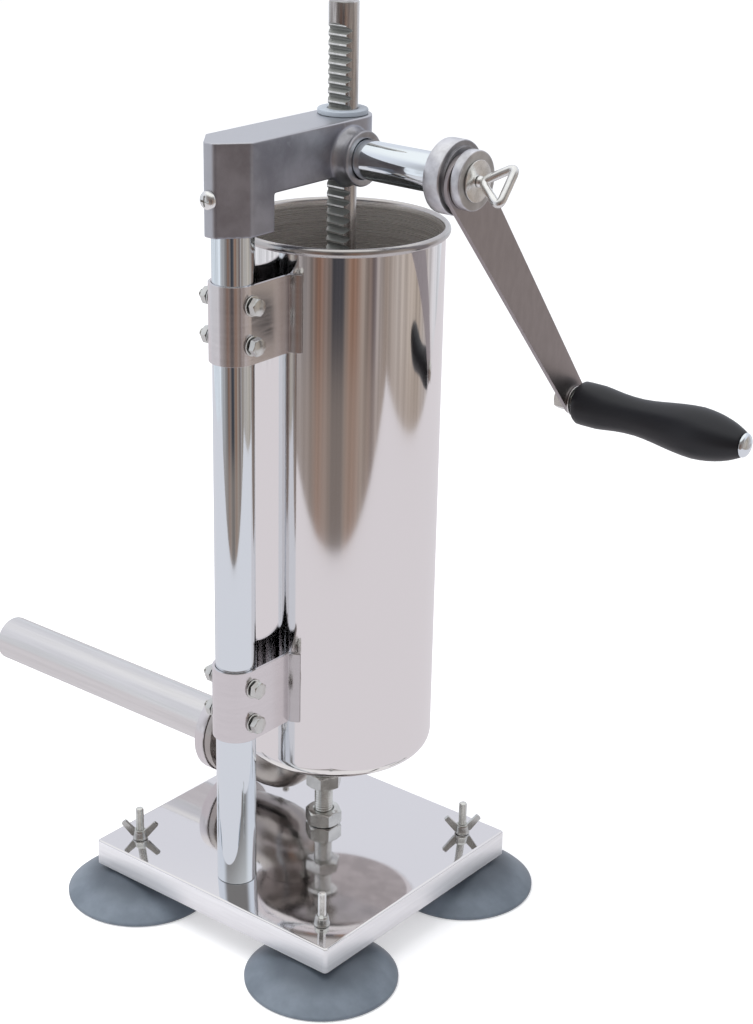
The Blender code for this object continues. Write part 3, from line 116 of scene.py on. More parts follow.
class Paint:
    """One material, or the world, while its nodes are being laid."""

    def __init__(self, tree):
        self.tree = tree
        self.where = None

    def node(self, kind, settings=None, values=None, out=0):
        """Add a node: its settings first, then the values or links of its sockets."""
        made = self.tree.nodes.new(kind)
        for name, value in (settings or {}).items():
            if name == "stops":
                self.set_stops(made.color_ramp, value)
            else:
                setattr(made, name, value)
        for name, value in (values or {}).items():
            self.feed(made.inputs[name], value)
        return Field(self, made.outputs[out])

    @staticmethod
    def set_stops(ramp, stops):
        while len(ramp.elements) < len(stops):
            ramp.elements.new(1.0)
        for element, (place, colour) in zip(ramp.elements, stops):
            element.position = place
            element.color = (*colour, 1.0)

    def feed(self, socket, value):
        if isinstance(value, Field):
            self.tree.links.new(value.socket, socket)
        elif isinstance(value, (tuple, list)) and len(value) == 3 and socket.type == "RGBA":
            socket.default_value = (*value, 1.0)
        else:
            socket.default_value = value

    def place(self):
        """Metres on the object, the same whatever the view."""
        if self.where is None:
            self.where = self.node("ShaderNodeTexCoord", out="Object")
        return self.where

    def axis(self, letter, of=None):
        return self.node("ShaderNodeSeparateXYZ", None, {0: of or self.place()}, out=letter)

    def scaled(self, x, y, z):
        return self.node("ShaderNodeVectorMath", {"operation": "MULTIPLY"},
                         {0: self.place(), 1: (x, y, z)})

    def noise(self, scale, detail=3.0, rough=0.5, of=None):
        return self.node("ShaderNodeTexNoise", None, {"Vector": of or self.place(), "Scale": scale,
                                                      "Detail": detail, "Roughness": rough})

    def blend(self, share, first, second, mode="MIX"):
        """Colour between two, by share."""
        return self.node("ShaderNodeMix", {"data_type": "RGBA", "blend_type": mode},
                         {0: share, 6: first, 7: second}, out=2)

    def colour(self, value):
        self.feed(self.shader.inputs["Base Color"], value)

    def roughness(self, field, middle, spread):
        """Roughness that follows a noise field, spread evenly about its middle value."""
        self.feed(self.shader.inputs["Roughness"], (middle - spread / 2) + spread * field)

    def relief(self, height, distance, strength=1.0):
        """Fine relief; distance is its depth in metres."""
        bump = self.node("ShaderNodeBump", None,
                         {"Height": height, "Distance": distance, "Strength": strength})
        self.feed(self.shader.inputs["Normal"], bump)


def new_paint(name, **sockets):
    """A Principled material with plain values on its sockets, and its Paint."""
    material = bpy.data.materials.new(name)
    material.use_nodes = True
    paint = Paint(material.node_tree)
    paint.material = material
    paint.shader = material.node_tree.nodes["Principled BSDF"]
    for label, value in sockets.items():
        paint.feed(paint.shader.inputs[label.replace("_", " ")], value)
    return paint


def mirror_finish(name, colour, roughness, wobble):
    """Polished sheet: a faint wobble of the surface and a film of fine haze."""
    paint = new_paint(name, Metallic=1.0, Base_Color=colour)
    paint.roughness(paint.noise(9.0, 4.0, 0.6), roughness + 0.005, 0.05)
    paint.relief(paint.noise(26.0, 1.0, 0.3), wobble)
    return paint.material


def brushed_finish(name, colour, roughness, stretch, shade, depth=0.00001):
    """Brushed metal: fine lines, long in the direction that is scaled least."""
    paint = new_paint(name, Metallic=1.0)
    lines = paint.noise(1.0, 5.0, 0.65, paint.scaled(*stretch))
    dark = tuple(part * (1 - shade * 2) for part in colour)
    paint.colour(paint.blend(lines.ramp_between(0.35, 0.65), dark, colour))
    paint.roughness(lines, roughness, 0.16)
    paint.relief(lines, depth)
    return paint.material


def inside_finish(name):
    """Barrel's inside: circular polishing lines, darker and browner towards the bottom."""
    paint = new_paint(name, Metallic=0.9)
    height = paint.axis("Z")
    fine = paint.noise(1.0, 4.0, 0.7, paint.scaled(3, 3, 900))
    broad = paint.noise(1.0, 2.0, 0.5, paint.scaled(2, 2, 120))
    steel = paint.blend(fine.ramp_between(0.3, 0.7), (0.72, 0.68, 0.65), (0.97, 0.94, 0.91))
    worn = paint.blend(broad.ramp_between(0.60, 0.72), steel, (0.95, 0.91, 0.86))
    deep = height.ramp_between(0.20, 0.42)
    paint.colour(paint.blend(deep, (0.66, 0.62, 0.585), worn))
    paint.roughness(fine, 0.27, 0.16)
    paint.relief(fine, 0.00002)
    return paint.material


def skirt_finish(name):
    """Folded edge of the plate: paler and duller than its top, with faint level lines."""
    paint = new_paint(name, Metallic=0.55)
    lines = paint.noise(1.0, 4.0, 0.6, paint.scaled(20, 20, 420))
    paint.colour(paint.blend(lines.ramp_between(0.3, 0.7), (0.90, 0.90, 0.92),
                             (0.97, 0.97, 0.99)))
    paint.roughness(lines, 0.41, 0.14)
    paint.relief(lines, 0.000004)
    return paint.material


def cast_finish(name):
    """Cast aluminium: cloudy grey and pitted, with painted light that makes its top and narrow
    front paler.
    """
    paint = new_paint(name, Metallic=0.95)
    clouds = paint.noise(30.0, 5.0, 0.6)
    patches = paint.noise(90.0, 3.0, 0.6)
    grey = paint.blend(clouds.ramp_between(0.30, 0.70), (0.30, 0.305, 0.345), (0.46, 0.47, 0.52))
    bright = patches.ramp_between(0.64, 0.82, 0.0, 0.4)
    sides = paint.blend(bright, grey, (0.66, 0.67, 0.71))
    # Painted light: the top face and the narrow front flat are painted paler, as where light falls
    # on them
    top_light_share = paint.axis("Z").ramp_between(0.5325, 0.5334)
    front_light_share = paint.axis("Y").ramp_between(-0.0934, -0.0924, 0.7, 0.0)
    paint.colour(paint.blend(top_light_share + front_light_share, sides, (0.60, 0.61, 0.645)))
    paint.roughness(clouds, 0.40, 0.20)
    grain = paint.noise(900.0, 2.0, 0.5)
    paint.relief(grain + clouds * 1.5, 0.00008, 0.6)
    return paint.material


def turned_finish(name, dark, pale, roughness):
    """Turned aluminium: rings about the shaft and a few clouds."""
    paint = new_paint(name, Metallic=0.92)
    rings = paint.noise(1.0, 3.0, 0.6, paint.scaled(1500, 6, 6))
    clouds = paint.noise(60.0, 4.0, 0.6)
    paint.colour(paint.blend(clouds.ramp_between(0.35, 0.7), dark, pale))
    paint.roughness(clouds, roughness, 0.18)
    paint.relief(rings + clouds, 0.00003)
    return paint.material


def zinc_finish(name, colour, roughness):
    """Zinc plate with cloudy brightness."""
    paint = new_paint(name, Metallic=1.0)
    clouds = paint.noise(120.0, 3.0, 0.5)
    dark = tuple(part * 0.82 for part in colour)
    paint.colour(paint.blend(clouds.ramp_between(0.3, 0.7), dark, colour))
    paint.roughness(clouds, roughness, 0.16)
    paint.relief(clouds, 0.000008)
    return paint.material


def rack_finish(name, dark, pale, roughness):
    """Machined steel with upright streaks of grease."""
    paint = new_paint(name, Metallic=1.0)
    streaks = paint.noise(1.0, 4.0, 0.65, paint.scaled(260, 260, 14))
    paint.colour(paint.blend(streaks.ramp_between(0.35, 0.7), dark, pale))
    paint.roughness(streaks, roughness, 0.16)
    paint.relief(streaks, 0.00001)
    return paint.material


def rubber_finish(name):
    """Cup rubber: blue grey with a dusty bloom, and painted shade that darkens it close under the
    plate.
    """
    paint = new_paint(name, Metallic=0.0, Specular_IOR_Level=0.35)
    bloom = paint.noise(30.0, 4.0, 0.6)
    tone = paint.blend(bloom.ramp_between(0.3, 0.75), (0.130, 0.157, 0.190),
                       (0.192, 0.225, 0.266))
    # Painted shade: the cup's upper part, close under the plate, darkens towards near black
    plate_shade = paint.axis("Z").ramp_between(-0.034, -0.024, 0.0, 0.6)
    paint.colour(paint.blend(plate_shade, tone, (0.035, 0.042, 0.054)))
    paint.roughness(bloom, 0.42, 0.16)
    paint.relief(paint.noise(1400.0, 2.0, 0.5), 0.00003, 0.5)
    return paint.material


def plastic_finish(name, colour, roughness):
    """Moulded plastic with a fine grain."""
    paint = new_paint(name, Metallic=0.0, Base_Color=colour)
    paint.roughness(paint.noise(45.0, 3.0, 0.5), roughness, 0.12)
    paint.relief(paint.noise(1300.0, 2.0, 0.5), 0.00003, 0.6)
    return paint.material


FINISH = {name: make(name, *values) for name, make, *values in (
    ("mirror_steel", mirror_finish, (0.88, 0.855, 0.85), 0.075, 0.00003),
    ("plate_steel", mirror_finish, (0.82, 0.81, 0.82), 0.06, 0.00001),
    ("skirt_steel", skirt_finish),
    ("underside_steel", brushed_finish, (0.60, 0.565, 0.55), 0.16, (60, 60, 60), 0.10),
    ("elbow_steel", brushed_finish, (0.49, 0.46, 0.44), 0.24, (40, 40, 40), 0.04),
    ("rim_steel", brushed_finish, (0.60, 0.58, 0.57), 0.20, (60, 60, 60), 0.04, 0.000004),
    ("chrome", mirror_finish, (0.83, 0.89, 0.93), 0.06, 0.00001),
    ("inside_steel", inside_finish),
    ("brushed_steel", brushed_finish, (0.84, 0.83, 0.825), 0.22, (170, 170, 4), 0.05, 0.000003),
    ("satin_steel", brushed_finish, (0.78, 0.75, 0.76), 0.17, (40, 40, 400), 0.02, 0.000003),
    # Darker copy of satin steel for the clamp flanges: painted shade where they meet the barrel
    ("flange_steel", brushed_finish, (0.60, 0.58, 0.585), 0.19, (40, 40, 400), 0.02, 0.000003),
    ("arm_steel", brushed_finish, (0.42, 0.385, 0.39), 0.34, (60, 200, 60), 0.04),
    ("cast_aluminium", cast_finish),
    ("turned_aluminium", turned_finish, (0.52, 0.52, 0.545), (0.80, 0.805, 0.835), 0.30),
    ("boss_aluminium", turned_finish, (0.32, 0.32, 0.34), (0.52, 0.52, 0.55), 0.32),
    # Darker copy of turned aluminium for the collar's front face: painted shade
    ("collar_face", turned_finish, (0.26, 0.26, 0.275), (0.42, 0.42, 0.44), 0.42),
    ("hub_face", turned_finish, (0.44, 0.43, 0.42), (0.62, 0.61, 0.60), 0.40),
    ("zinc", zinc_finish, (0.78, 0.79, 0.76), 0.24),
    ("bright_zinc", zinc_finish, (0.95, 0.955, 0.94), 0.22),
    ("wing_zinc", zinc_finish, (0.68, 0.69, 0.67), 0.25),
    ("black_spring", plastic_finish, (0.012, 0.012, 0.013), 0.40),
    ("rack_steel", rack_finish, (0.34, 0.31, 0.295), (0.72, 0.70, 0.685), 0.24),
    # Paler copy of rack steel for the tooth crests: painted highlight
    ("rack_crest", rack_finish, (0.74, 0.74, 0.72), (0.95, 0.95, 0.94), 0.30),
    ("rack_gap", plastic_finish, (0.21, 0.215, 0.205), 0.36),
    ("cup_rubber", rubber_finish),
    ("seal_rubber", plastic_finish, (0.62, 0.60, 0.55), 0.50),
    ("nylon", plastic_finish, (0.36, 0.40, 0.45), 0.38),
    ("bearing_plastic", plastic_finish, (0.03, 0.03, 0.033), 0.45),
    ("grip_plastic", plastic_finish, (0.0058, 0.0066, 0.0098), 0.40),
)}


def at(x, y, z):
    """A bench place in millimetres, as a point in the frame."""
    return BENCH + Vector((x, y, z)) * MM


def placed(name, body, place, turn):
    """Put a mesh drawn in millimetres into the scene, in metres."""
    bmesh.ops.recalc_face_normals(body, faces=body.faces)
    mesh = bpy.data.meshes.new(name)
    body.to_mesh(mesh)
    body.free()
    mesh.transform(Matrix.Scale(MM, 4))
    made = bpy.data.objects.new(name, mesh)
    bpy.context.scene.collection.objects.link(made)
    made.matrix_world = Matrix.Translation(place) @ turn.to_4x4()
    return made


def piece(name, body, finish, place, turn=UPRIGHT, *, stands_for, rides="stand",
          sharp=32):
    """A visible piece in one or more finishes, which rides on a body for its CAD node."""
    made = placed(name, body, place, turn)
    made.data.shade_smooth()
    made.data.set_sharp_from_angle(angle=math.radians(sharp))
    finishes = [finish] if isinstance(finish, str) else finish
    for one in finishes:
        made.data.materials.append(FINISH[one])
    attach(made, rides)
    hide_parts(stands_for)
    return made


def helper(body, place, turn=UPRIGHT):
    """A bare shape for one cut or join."""
    return placed("helper", body, place, turn)


def bevelled(made, width, segments=2, angle=35):
    """Rounded edges on a made piece, width in millimetres."""
    change = made.modifiers.new("Edges", "BEVEL")
    change.width = width * MM
    change.segments = segments
    change.limit_method = "ANGLE"
    change.angle_limit = math.radians(angle)
    change.harden_normals = True


def applied(made):
    """Bake a piece's modifiers into its mesh."""
    bpy.context.view_layer.update()
    finished = made.evaluated_get(bpy.context.evaluated_depsgraph_get())
    mesh = bpy.data.meshes.new_from_object(finished)
    made.modifiers.clear()
    made.data = mesh


def with_shape(made, shape, operation):
    """Cut or join a helper shape into a made piece, then drop the helper."""
    change = made.modifiers.new(operation.title(), "BOOLEAN")
    change.operation = operation
    change.solver = "EXACT"
    change.object = shape
    applied(made)
    bpy.data.objects.remove(shape)


def eased(outline, ease, steps=3):
    """Round the corners of a flat outline; ease is a radius, or one for each corner."""
    eases = ease if isinstance(ease, (list, tuple)) else [ease] * len(outline)
    points = []
    for index, corner in enumerate(outline):
        if eases[index] <= 0:
            points.append(corner)
            continue
        before = outline[index - 1]
        after = outline[(index + 1) % len(outline)]
        near = math.dist(before, corner)
        far = math.dist(corner, after)
        reach = min(eases[index], near * 0.48, far * 0.48)
        start = [corner[k] + (before[k] - corner[k]) * reach / near for k in (0, 1)]
        end = [corner[k] + (after[k] - corner[k]) * reach / far for k in (0, 1)]
        for step in range(steps + 1):
            share = step / steps
            points.append(tuple(start[k] * (1 - share) ** 2 + 2 * corner[k] * share * (1 - share)
                                + end[k] * share ** 2 for k in (0, 1)))
    return points


def ring(height, radius, sides, corners=0):
    """Level circle of points, or a polygon with that radius over its flats."""
    points = []
    for step in range(sides):
        angle = math.tau * step / sides
        reach = radius
        if corners:
            span = math.tau / corners
            reach = radius / math.cos(angle % span - span / 2)
        points.append((reach * math.cos(angle), reach * math.sin(angle), height))
    return points


def skin(rows, closed=False):
    """Faces between rows of points, closed on themselves or capped at both ends."""
    body = bmesh.new()
    rings = [[body.verts.new(point) for point in row] for row in rows]
    pairs = list(zip(rings, rings[1:]))
    if closed:
        pairs.append((rings[-1], rings[0]))
    for low, high in pairs:
        for index in range(len(low)):
            after = (index + 1) % len(low)
            body.faces.new((low[index], low[after], high[after], high[index]))
    if not closed:
        body.faces.new(rings[0])
        body.faces.new(rings[-1])
    return body


def lathe(outline, sides=72, closed=False):
    """Solid of revolution from (height, radius) pairs; a closed outline makes a ring or tube."""
    return skin([ring(height, max(radius, 0.01), sides) for height, radius in outline], closed)


def tube(low, high, outer, inner, ease, sides):
    """Turned ring or tube with eased edges."""
    outline = [(low, outer), (high, outer), (high, inner), (low, inner)]
    return lathe(eased(outline, ease), sides, closed=True)


def washer(low, high, bore, radius, ease):
    """Flat or spring washer."""
    outline = [(low, bore), (low, radius), (high, radius), (high, bore)]
    return lathe(eased(outline, ease), 56, closed=True)


def rod(low, high, radius, ease, sides):
    """Turned rod with eased ends."""
    return lathe([(low, radius - ease), (low + ease * 0.3, radius - ease * 0.3),
                  (low + ease, radius), (high - ease, radius),
                  (high - ease * 0.3, radius - ease * 0.3), (high, radius - ease)], sides)


def prism(outline, low, high):
    return skin([[(x, y, height) for x, y in outline] for height in (low, high)])


def arc(radius, start, end, steps, centre=(0, 0)):
    """Points on a flat arc, angles in degrees."""
    points = []
    for step in range(steps + 1):
        angle = math.radians(start + (end - start) * step / steps)
        points.append((centre[0] + radius * math.cos(angle), centre[1] + radius * math.sin(angle)))
    return points


def wire_loop(path, radius, sides, across):
    """Round wire along a closed path of 3-D points; across stands square to the loop."""
    rows = []
    points = [Vector(point) for point in path]
    for index, point in enumerate(points):
        along = (points[(index + 1) % len(points)] - points[index - 1]).normalized()
        side = along.cross(Vector(across)).normalized()
        lift = side.cross(along)
        turns = [math.tau * step / sides for step in range(sides)]
        rows.append([point + (side * math.cos(turn) + lift * math.sin(turn)) * radius
                     for turn in turns])
    return skin(rows, closed=True)


def threaded(low, high, radius, pitch, sides=32, ease=0.6):
    """Bolt shank whose surface rises and falls as a screw thread does."""
    depth = pitch * 0.5
    steps = max(2, round((high - low) / pitch * 6))
    rows = []
    for step in range(steps + 1):
        height = low + (high - low) * step / steps
        points = []
        for turn in range(sides):
            share = turn / sides
            phase = ((height / pitch) - share) % 1.0
            crest = abs(phase * 2 - 1)
            fade = min(1.0, (height - low) / ease, (high - height) / ease)
            reach = radius - depth * (1 - crest) * 0.9 - (1 - fade) * depth
            angle = math.tau * share
            points.append((reach * math.cos(angle), reach * math.sin(angle), height))
        rows.append(points)
    return skin(rows)


def merged(*bodies):
    """Several closed shells in one mesh."""
    whole = bodies[0]
    for other in bodies[1:]:
        mesh = bpy.data.meshes.new("part")
        other.to_mesh(mesh)
        other.free()
        whole.from_mesh(mesh)
        bpy.data.meshes.remove(mesh)
    return whole


def in_finishes(bodies):
    """Closed shells in one mesh, each with the next finish of its piece."""
    for index, body in enumerate(bodies):
        for face in body.faces:
            face.material_index = index
    return merged(*bodies)


def hexagon(low, high, flats, bore=0.0, foot=False, sides=72):
    """Hex head or nut, six flats cut back by a cone at the crown, and at the foot of a nut."""
    corner = flats / math.cos(math.pi / 6)
    circle = flats * 0.96
    slope = (corner - circle) * 0.62
    steps = 4
    rows = []

    def level(height, limit):
        rows.append([(x * min(1, limit / math.hypot(x, y)), y * min(1, limit / math.hypot(x, y)),
                      height) for x, y, _ in ring(height, flats, sides, 6)])

    if foot:
        for step in range(steps):
            level(low + slope * step / steps, circle + (corner - circle) * step / steps)
    level(low + (slope if foot else 0), corner)
    level(high - slope, corner)
    for step in range(1, steps + 1):
        level(high - slope + slope * step / steps, corner - (corner - circle) * step / steps)
    if bore:
        rows += [ring(high, bore * 1.12, sides), ring(high - bore * 0.12, bore, sides),
                 ring(low, bore, sides)]
    return skin(rows, closed=bool(bore))


def make_base_plate():
    """Pan of folded sheet: mirror top, rolled edge and a duller skirt."""
    half_x, half_y, corner = 111, 104, 3.2
    skirt, sheet, roll = 19.3, 2.0, 1.9

    def level(inset, height):
        points = []
        for side_x, side_y, start in ((1, 1, 0), (-1, 1, 90), (-1, -1, 180), (1, -1, 270)):
            centre = (side_x * (half_x - corner), side_y * (half_y - corner))
            points += arc(max(corner - inset, 0.3), start, start + 90, 8, centre)
        return [(x, y, height) for x, y in points]

    rows = [level(sheet, -sheet), level(sheet, -skirt + 0.3), level(1.7, -skirt),
            level(0.3, -skirt), level(0, -skirt + 0.3), level(0, -roll)]
    for turn in (15, 30, 45, 60, 75, 90):
        angle = math.radians(turn)
        rows.append(level(roll * (1 - math.cos(angle)), -roll * (1 - math.sin(angle))))
    body = skin(rows)
    for face in body.faces:
        face.material_index = 0 if face.calc_center_median().z > -1.0 else 1
    piece("plate_skin", body, ["plate_steel", "skirt_steel"], at(0, 0, 0),
          stands_for="base_plate", sharp=60)


CORNERS = {"front_left": (-88.1, -81.1), "front_right": (88.1, -81.1),
           "back_right": (88.1, 81.1), "back_left": (-88.1, 81.1)}
WING_TURN = {"front_left": 34, "front_right": 128, "back_right": 46, "back_left": 20}


def make_cups():
    """Suction cups, as (height, radius) pairs from the hollow over the rim to the neck."""
    foot = -42.48
    outline = [(foot + 12.8, 0), (foot + 12.4, 12), (foot + 9.8, 28), (foot + 5.2, 41),
               (foot + 1.6, 48), (foot, 50), (foot, 53.2), (foot + 0.5, 53.9), (foot + 2.2, 54.0),
               (foot + 3.0, 53.2), (foot + 5.5, 50.5), (foot + 9.3, 45.5), (foot + 13.2, 39.0),
               (foot + 17.1, 31.0), (foot + 20.0, 23.0), (foot + 22.2, 17.2), (foot + 24.0, 15.3),
               (foot + 26.6, 15.0), (-2.9, 15.0), (-2.3, 14.4), (-2.3, 4.0), (-2.35, 3.1)]
    for name, (x, y) in CORNERS.items():
        piece("cup_" + name, lathe(outline, 96), "cup_rubber", at(x, y, 0),
              stands_for="suction_cup_" + name, sharp=60)
        finish = "bright_zinc" if name == "front_right" else "zinc"
        piece("stud_" + name, threaded(-12, 25.2, M6_RADIUS, M6_PITCH), finish, at(x, y, 0),
              stands_for="cup_stud_" + name, sharp=80)


def wing_nut():
    """Wide low hub on a base ring, with two straight wings that lean out in a V."""
    hub = lathe(eased([(0, 3.15), (0, 5.6), (1.3, 5.6), (1.7, 5.2), (5.6, 4.9), (7.4, 4.2),
                       (7.4, 3.15)], [0.2, 0.4, 0.3, 0.3, 0.6, 0.5, 0.3]), 40, closed=True)
    outline = eased([(3.4, 1.8), (6.0, 1.8), (13.8, 11.8), (10.8, 14.4), (7.0, 10.2), (3.4, 6.8)],
                    [0.1, 1.0, 0.9, 0.9, 3.0, 0.1], 4)
    half_thick = 1.35
    wings = [skin([[(side * x, depth, z) for x, z in outline]
                   for depth in (-half_thick, half_thick)]) for side in (1, -1)]
    return merged(hub, *wings)


def make_wing_nuts():
    for name, (x, y) in CORNERS.items():
        turn = Matrix.Rotation(math.radians(WING_TURN[name]), 3, "Z")
        node = "wing_nut_" + name
        made = piece("wings_" + name, wing_nut(), "wing_zinc", at(x, y, 0.3), turn,
                     rides=node, stands_for=node)
        bevelled(made, 0.4)


def make_support():
    """Stud between plate and barrel with its pad, domed collar and three hex nuts."""
    place = at(-1.3, 26.3, 0)
    pad = lathe(eased([(64.2, 3), (64.2, 10.0), (66.2, 12.4), (68.2, 10.5), (68.2, 3)], 0.5), 56,
                closed=True)
    dome = lathe(eased([(43.2, 6.8), (43.2, 10.4), (44.4, 10.6), (46.6, 9.2), (47.6, 6.8)],
                       [0.2, 0.6, 1.2, 1.6, 0.2]), 56, closed=True)
    piece("support_thread", merged(threaded(-15, 66.0, M14_RADIUS, M14_PITCH, 40), pad, dome),
          "zinc", place, stands_for="support_stud", sharp=80)
    for name, low, high, degrees, node in (("foot", 0.3, 11.7, 26.5, "support_nut"),
                                           ("head", 32.0, 43.0, 0.0, "support_jam_nut"),
                                           ("under", -13.3, -2.3, 10.0, "support_under_nut")):
        turn = Matrix.Rotation(math.radians(degrees), 3, "Z")
        piece("support_hex_" + name, hexagon(low, high, 12.0, 7.1, True), "zinc", place, turn,
              stands_for=node)


def make_column():
    piece("column_skin", tube(0.3, COLUMN_TOP, COLUMN_RADIUS, 12.2, 0.3, 128), "chrome",
          at(0, COLUMN_Y, 0), stands_for="column_tube")


def clamp_outline():
    """Strap round the back of the column with two flanges that follow the barrel."""
    gap, sheet, reach, feather = 0.3, 2.0, 23.8, 1.3
    inner, near = COLUMN_RADIUS + gap, BARREL_RADIUS + gap
    outer, far = inner + sheet, near + sheet

    def on_barrel(radius, x):
        return x, BARREL_Y - math.sqrt(radius * radius - x * x)

    shares = [step / 6 for step in range(7)]
    flange_far = [on_barrel(far - feather * share ** 2, outer + (reach - outer) * share)
                  for share in shares]
    flange_near = [on_barrel(near, inner + (reach - inner) * share) for share in shares]
    right = flange_far + flange_near[::-1]
    bend_in = arc(inner, 0, -180, 40, (0, COLUMN_Y))
    bend_out = arc(outer, -180, 0, 40, (0, COLUMN_Y))
    left = [(-x, y) for x, y in reversed(right)]
    return right + bend_in + left + bend_out


CLAMPS = {"upper": 414.5, "lower": 141.5}
HEAD_TURNS = {("upper", "top"): 14, ("upper", "bottom"): 40,
              ("lower", "top"): 52, ("lower", "bottom"): 20}
NUT_TURN = 22


def make_clamps():
    """Two straps, each with two bolts through the column's back; washers part of the bolts."""
    half_height, bolt_shift, bore, flats = 26.5, 13.25, 3.1, 5.5
    for name, middle in CLAMPS.items():
        strap = piece("strap_" + name, prism(clamp_outline(), -half_height, half_height),
                      ["satin_steel", "flange_steel"], at(0, 0, middle),
                      stands_for="clamp_" + name, sharp=40)
        # Flange faces, out past the column, take the darker finish as painted shade
        for polygon in strap.data.polygons:
            polygon.material_index = 1 if abs(polygon.center.x) > 16.8 * MM else 0
        bevelled(strap, 0.2, 2, 50)
        for row, shift in (("top", bolt_shift), ("bottom", -bolt_shift)):
            place = at(0, COLUMN_Y, middle + shift)
            turn = ALONG_X @ Matrix.Rotation(math.radians(HEAD_TURNS[name, row]), 3, "Z")
            shank = threaded(-28.0, 16.6, M6_RADIUS, M6_PITCH, 28)
            front = merged(shank, washer(16.6, 17.6, bore, 6.9, 0.3), hexagon(18.9, 23.2, flats))
            piece(f"bolt_{name}_{row}", in_finishes([front, washer(17.6, 18.9, bore, 5.3, 0.2)]),
                  ["zinc", "black_spring"], place, turn, stands_for=f"clamp_bolt_{name}_{row}")
            turn = ALONG_X @ Matrix.Rotation(math.radians(NUT_TURN), 3, "Z")
            back = merged(washer(-17.6, -16.6, bore, 6.9, 0.3),
                          hexagon(-24.0, -19.0, flats, bore, True))
            piece(f"nut_{name}_{row}", in_finishes([back, washer(-19.0, -17.6, bore, 6.2, 0.2)]),
                  ["zinc", "black_spring"], place, turn, stands_for=f"clamp_nut_{name}_{row}")


def make_barrel():
    """Deep cup with a rolled rim; rows close to rim and corner keep the wall's shading straight."""
    radius, wall, low, corner, rim = (BARREL_RADIUS, BARREL_WALL, BARREL_LOW, BARREL_CORNER,
                                      BARREL_RIM)
    bead, sides = 2.3, 192
    outer = [(low, 0)]
    for turn in range(0, 91, 10):
        angle = math.radians(turn)
        outer.append((low + corner - corner * math.cos(angle),
                      radius - corner + corner * math.sin(angle)))
    outer += [(low + corner + 0.5, radius), (rim - 120, radius), (rim - 4.4, radius),
              (rim - 3.7, radius)]
    middle = radius - wall + bead
    roll = [(rim - 0.7 + 3.0 * math.sin(math.radians(turn)),
             middle + bead * math.cos(math.radians(turn))) for turn in range(-118, 178, 15)]
    inside = [(rim - 4, radius - wall), (rim - 120, radius - wall), (low + 60, radius - wall)]
    floor = []
    for turn in range(90, -1, -15):
        angle = math.radians(turn)
        floor.append((low + corner - (corner - wall) * math.cos(angle),
                      radius - corner + (corner - wall) * math.sin(angle)))
    body = lathe(outer + roll + inside + floor + [(low + wall, 0)], sides)
    skins = ([2] * 2 + [0] * (len(outer) - 3) + [3] * len(roll)
             + [1] * (len(inside) + len(floor) + 2))
    for index, face in enumerate(body.faces):
        face.material_index = skins[min(index // sides, len(skins) - 1)]
    shell = piece("barrel_skin", body,
                  ["mirror_steel", "inside_steel", "underside_steel", "rim_steel"],
                  at(0, BARREL_Y, 0), stands_for="barrel")
    hole = helper(lathe([(TUBE_Z, 20), (low + corner, 20)], 64), at(-45.5, BARREL_Y, 0))
    with_shape(shell, hole, "DIFFERENCE")
    shell.data.set_sharp_from_angle(angle=math.radians(32))


def elbow_rings(thinner, sides):
    """Rings along the pressed elbow, swollen at its corner and cut to the barrel's underside."""
    # Middle of the ring, its turn in degrees and its radius
    path = [(-96.2, 38.5, 0, 27.5), (-84, 38.5, 0, 28.5), (-70, 38.5, 0, 29.4),
            (-57, 38.7, 5, 29.8), (-52.6, 39.4, 16, 29.9), (-49.6, 40.8, 30, 29.7),
            (-47.2, 43.2, 44, 29.2), (-45.2, 46.8, 57, 28.4), (-43.6, 51.3, 68, 27.4),
            (-42.6, 56.4, 77, 26.4), (-42.0, 62.0, 85, 25.5), (-42.0, 68.2, 90, 25.0)]
    rows = []
    for x, height, degrees, radius in path:
        turn = math.radians(degrees)
        reach = radius - thinner
        rows.append([(x - reach * math.cos(step) * math.sin(turn), reach * math.sin(step),
                      height + reach * math.cos(step) * math.cos(turn))
                     for step in (math.tau * index / sides for index in range(sides))])
    flat = BARREL_RADIUS - BARREL_CORNER
    brim = []
    for x, y, _ in rows[-1]:
        past = math.hypot(x, y) - flat
        under = BARREL_LOW
        if past >= 0:
            under += BARREL_CORNER - math.sqrt(max(BARREL_CORNER ** 2 - past ** 2, 0.01))
        brim.append((x, y, under - 0.3))
    return rows[:-1] + [brim]


def make_outlet():
    """Elbow with its flange, the ring nut over it and the filling tube."""
    wall = skin(elbow_rings(0.0, 96) + elbow_rings(1.8, 96)[::-1], closed=True)
    flange = lathe(eased([(-96.0, 20.0), (-96.0, 33.0), (-102.5, 33.0), (-102.5, 27.5),
                          (-107.0, 27.5), (-107.0, 20.0)], 0.5), 96, closed=True)
    flange.transform(Matrix.Translation((0, 0, TUBE_Z)) @ ALONG_X.to_4x4())
    piece("elbow_skin", merged(wall, flange), "elbow_steel", at(0, BARREL_Y, 0),
          stands_for="outlet_elbow", sharp=40)
    axis = at(0, BARREL_Y, TUBE_Z)
    nut = eased([(-102.8, 28.2), (-102.8, 34.0), (-112.3, 34.0), (-112.3, 18.4), (-110.4, 18.4),
                 (-110.4, 28.2)], [0.3, 0.8, 1.4, 0.3, 0.2, 0.2])
    piece("ring_nut", lathe(nut, 144, closed=True), "satin_steel", axis, ALONG_X,
          rides="union_nut", stands_for="union_nut")
    filler = eased([(-108.6, 26.0), (-109.8, 26.0), (-109.8, 18.0), (-354.5, 18.0),
                    (-354.5, 16.8), (-108.6, 16.8)], [0.2, 0.2, 0.4, 0.5, 0.4, 0.2])
    piece("filling_tube", lathe(filler, 128, closed=True), "brushed_steel", axis, ALONG_X,
          stands_for="nozzle")


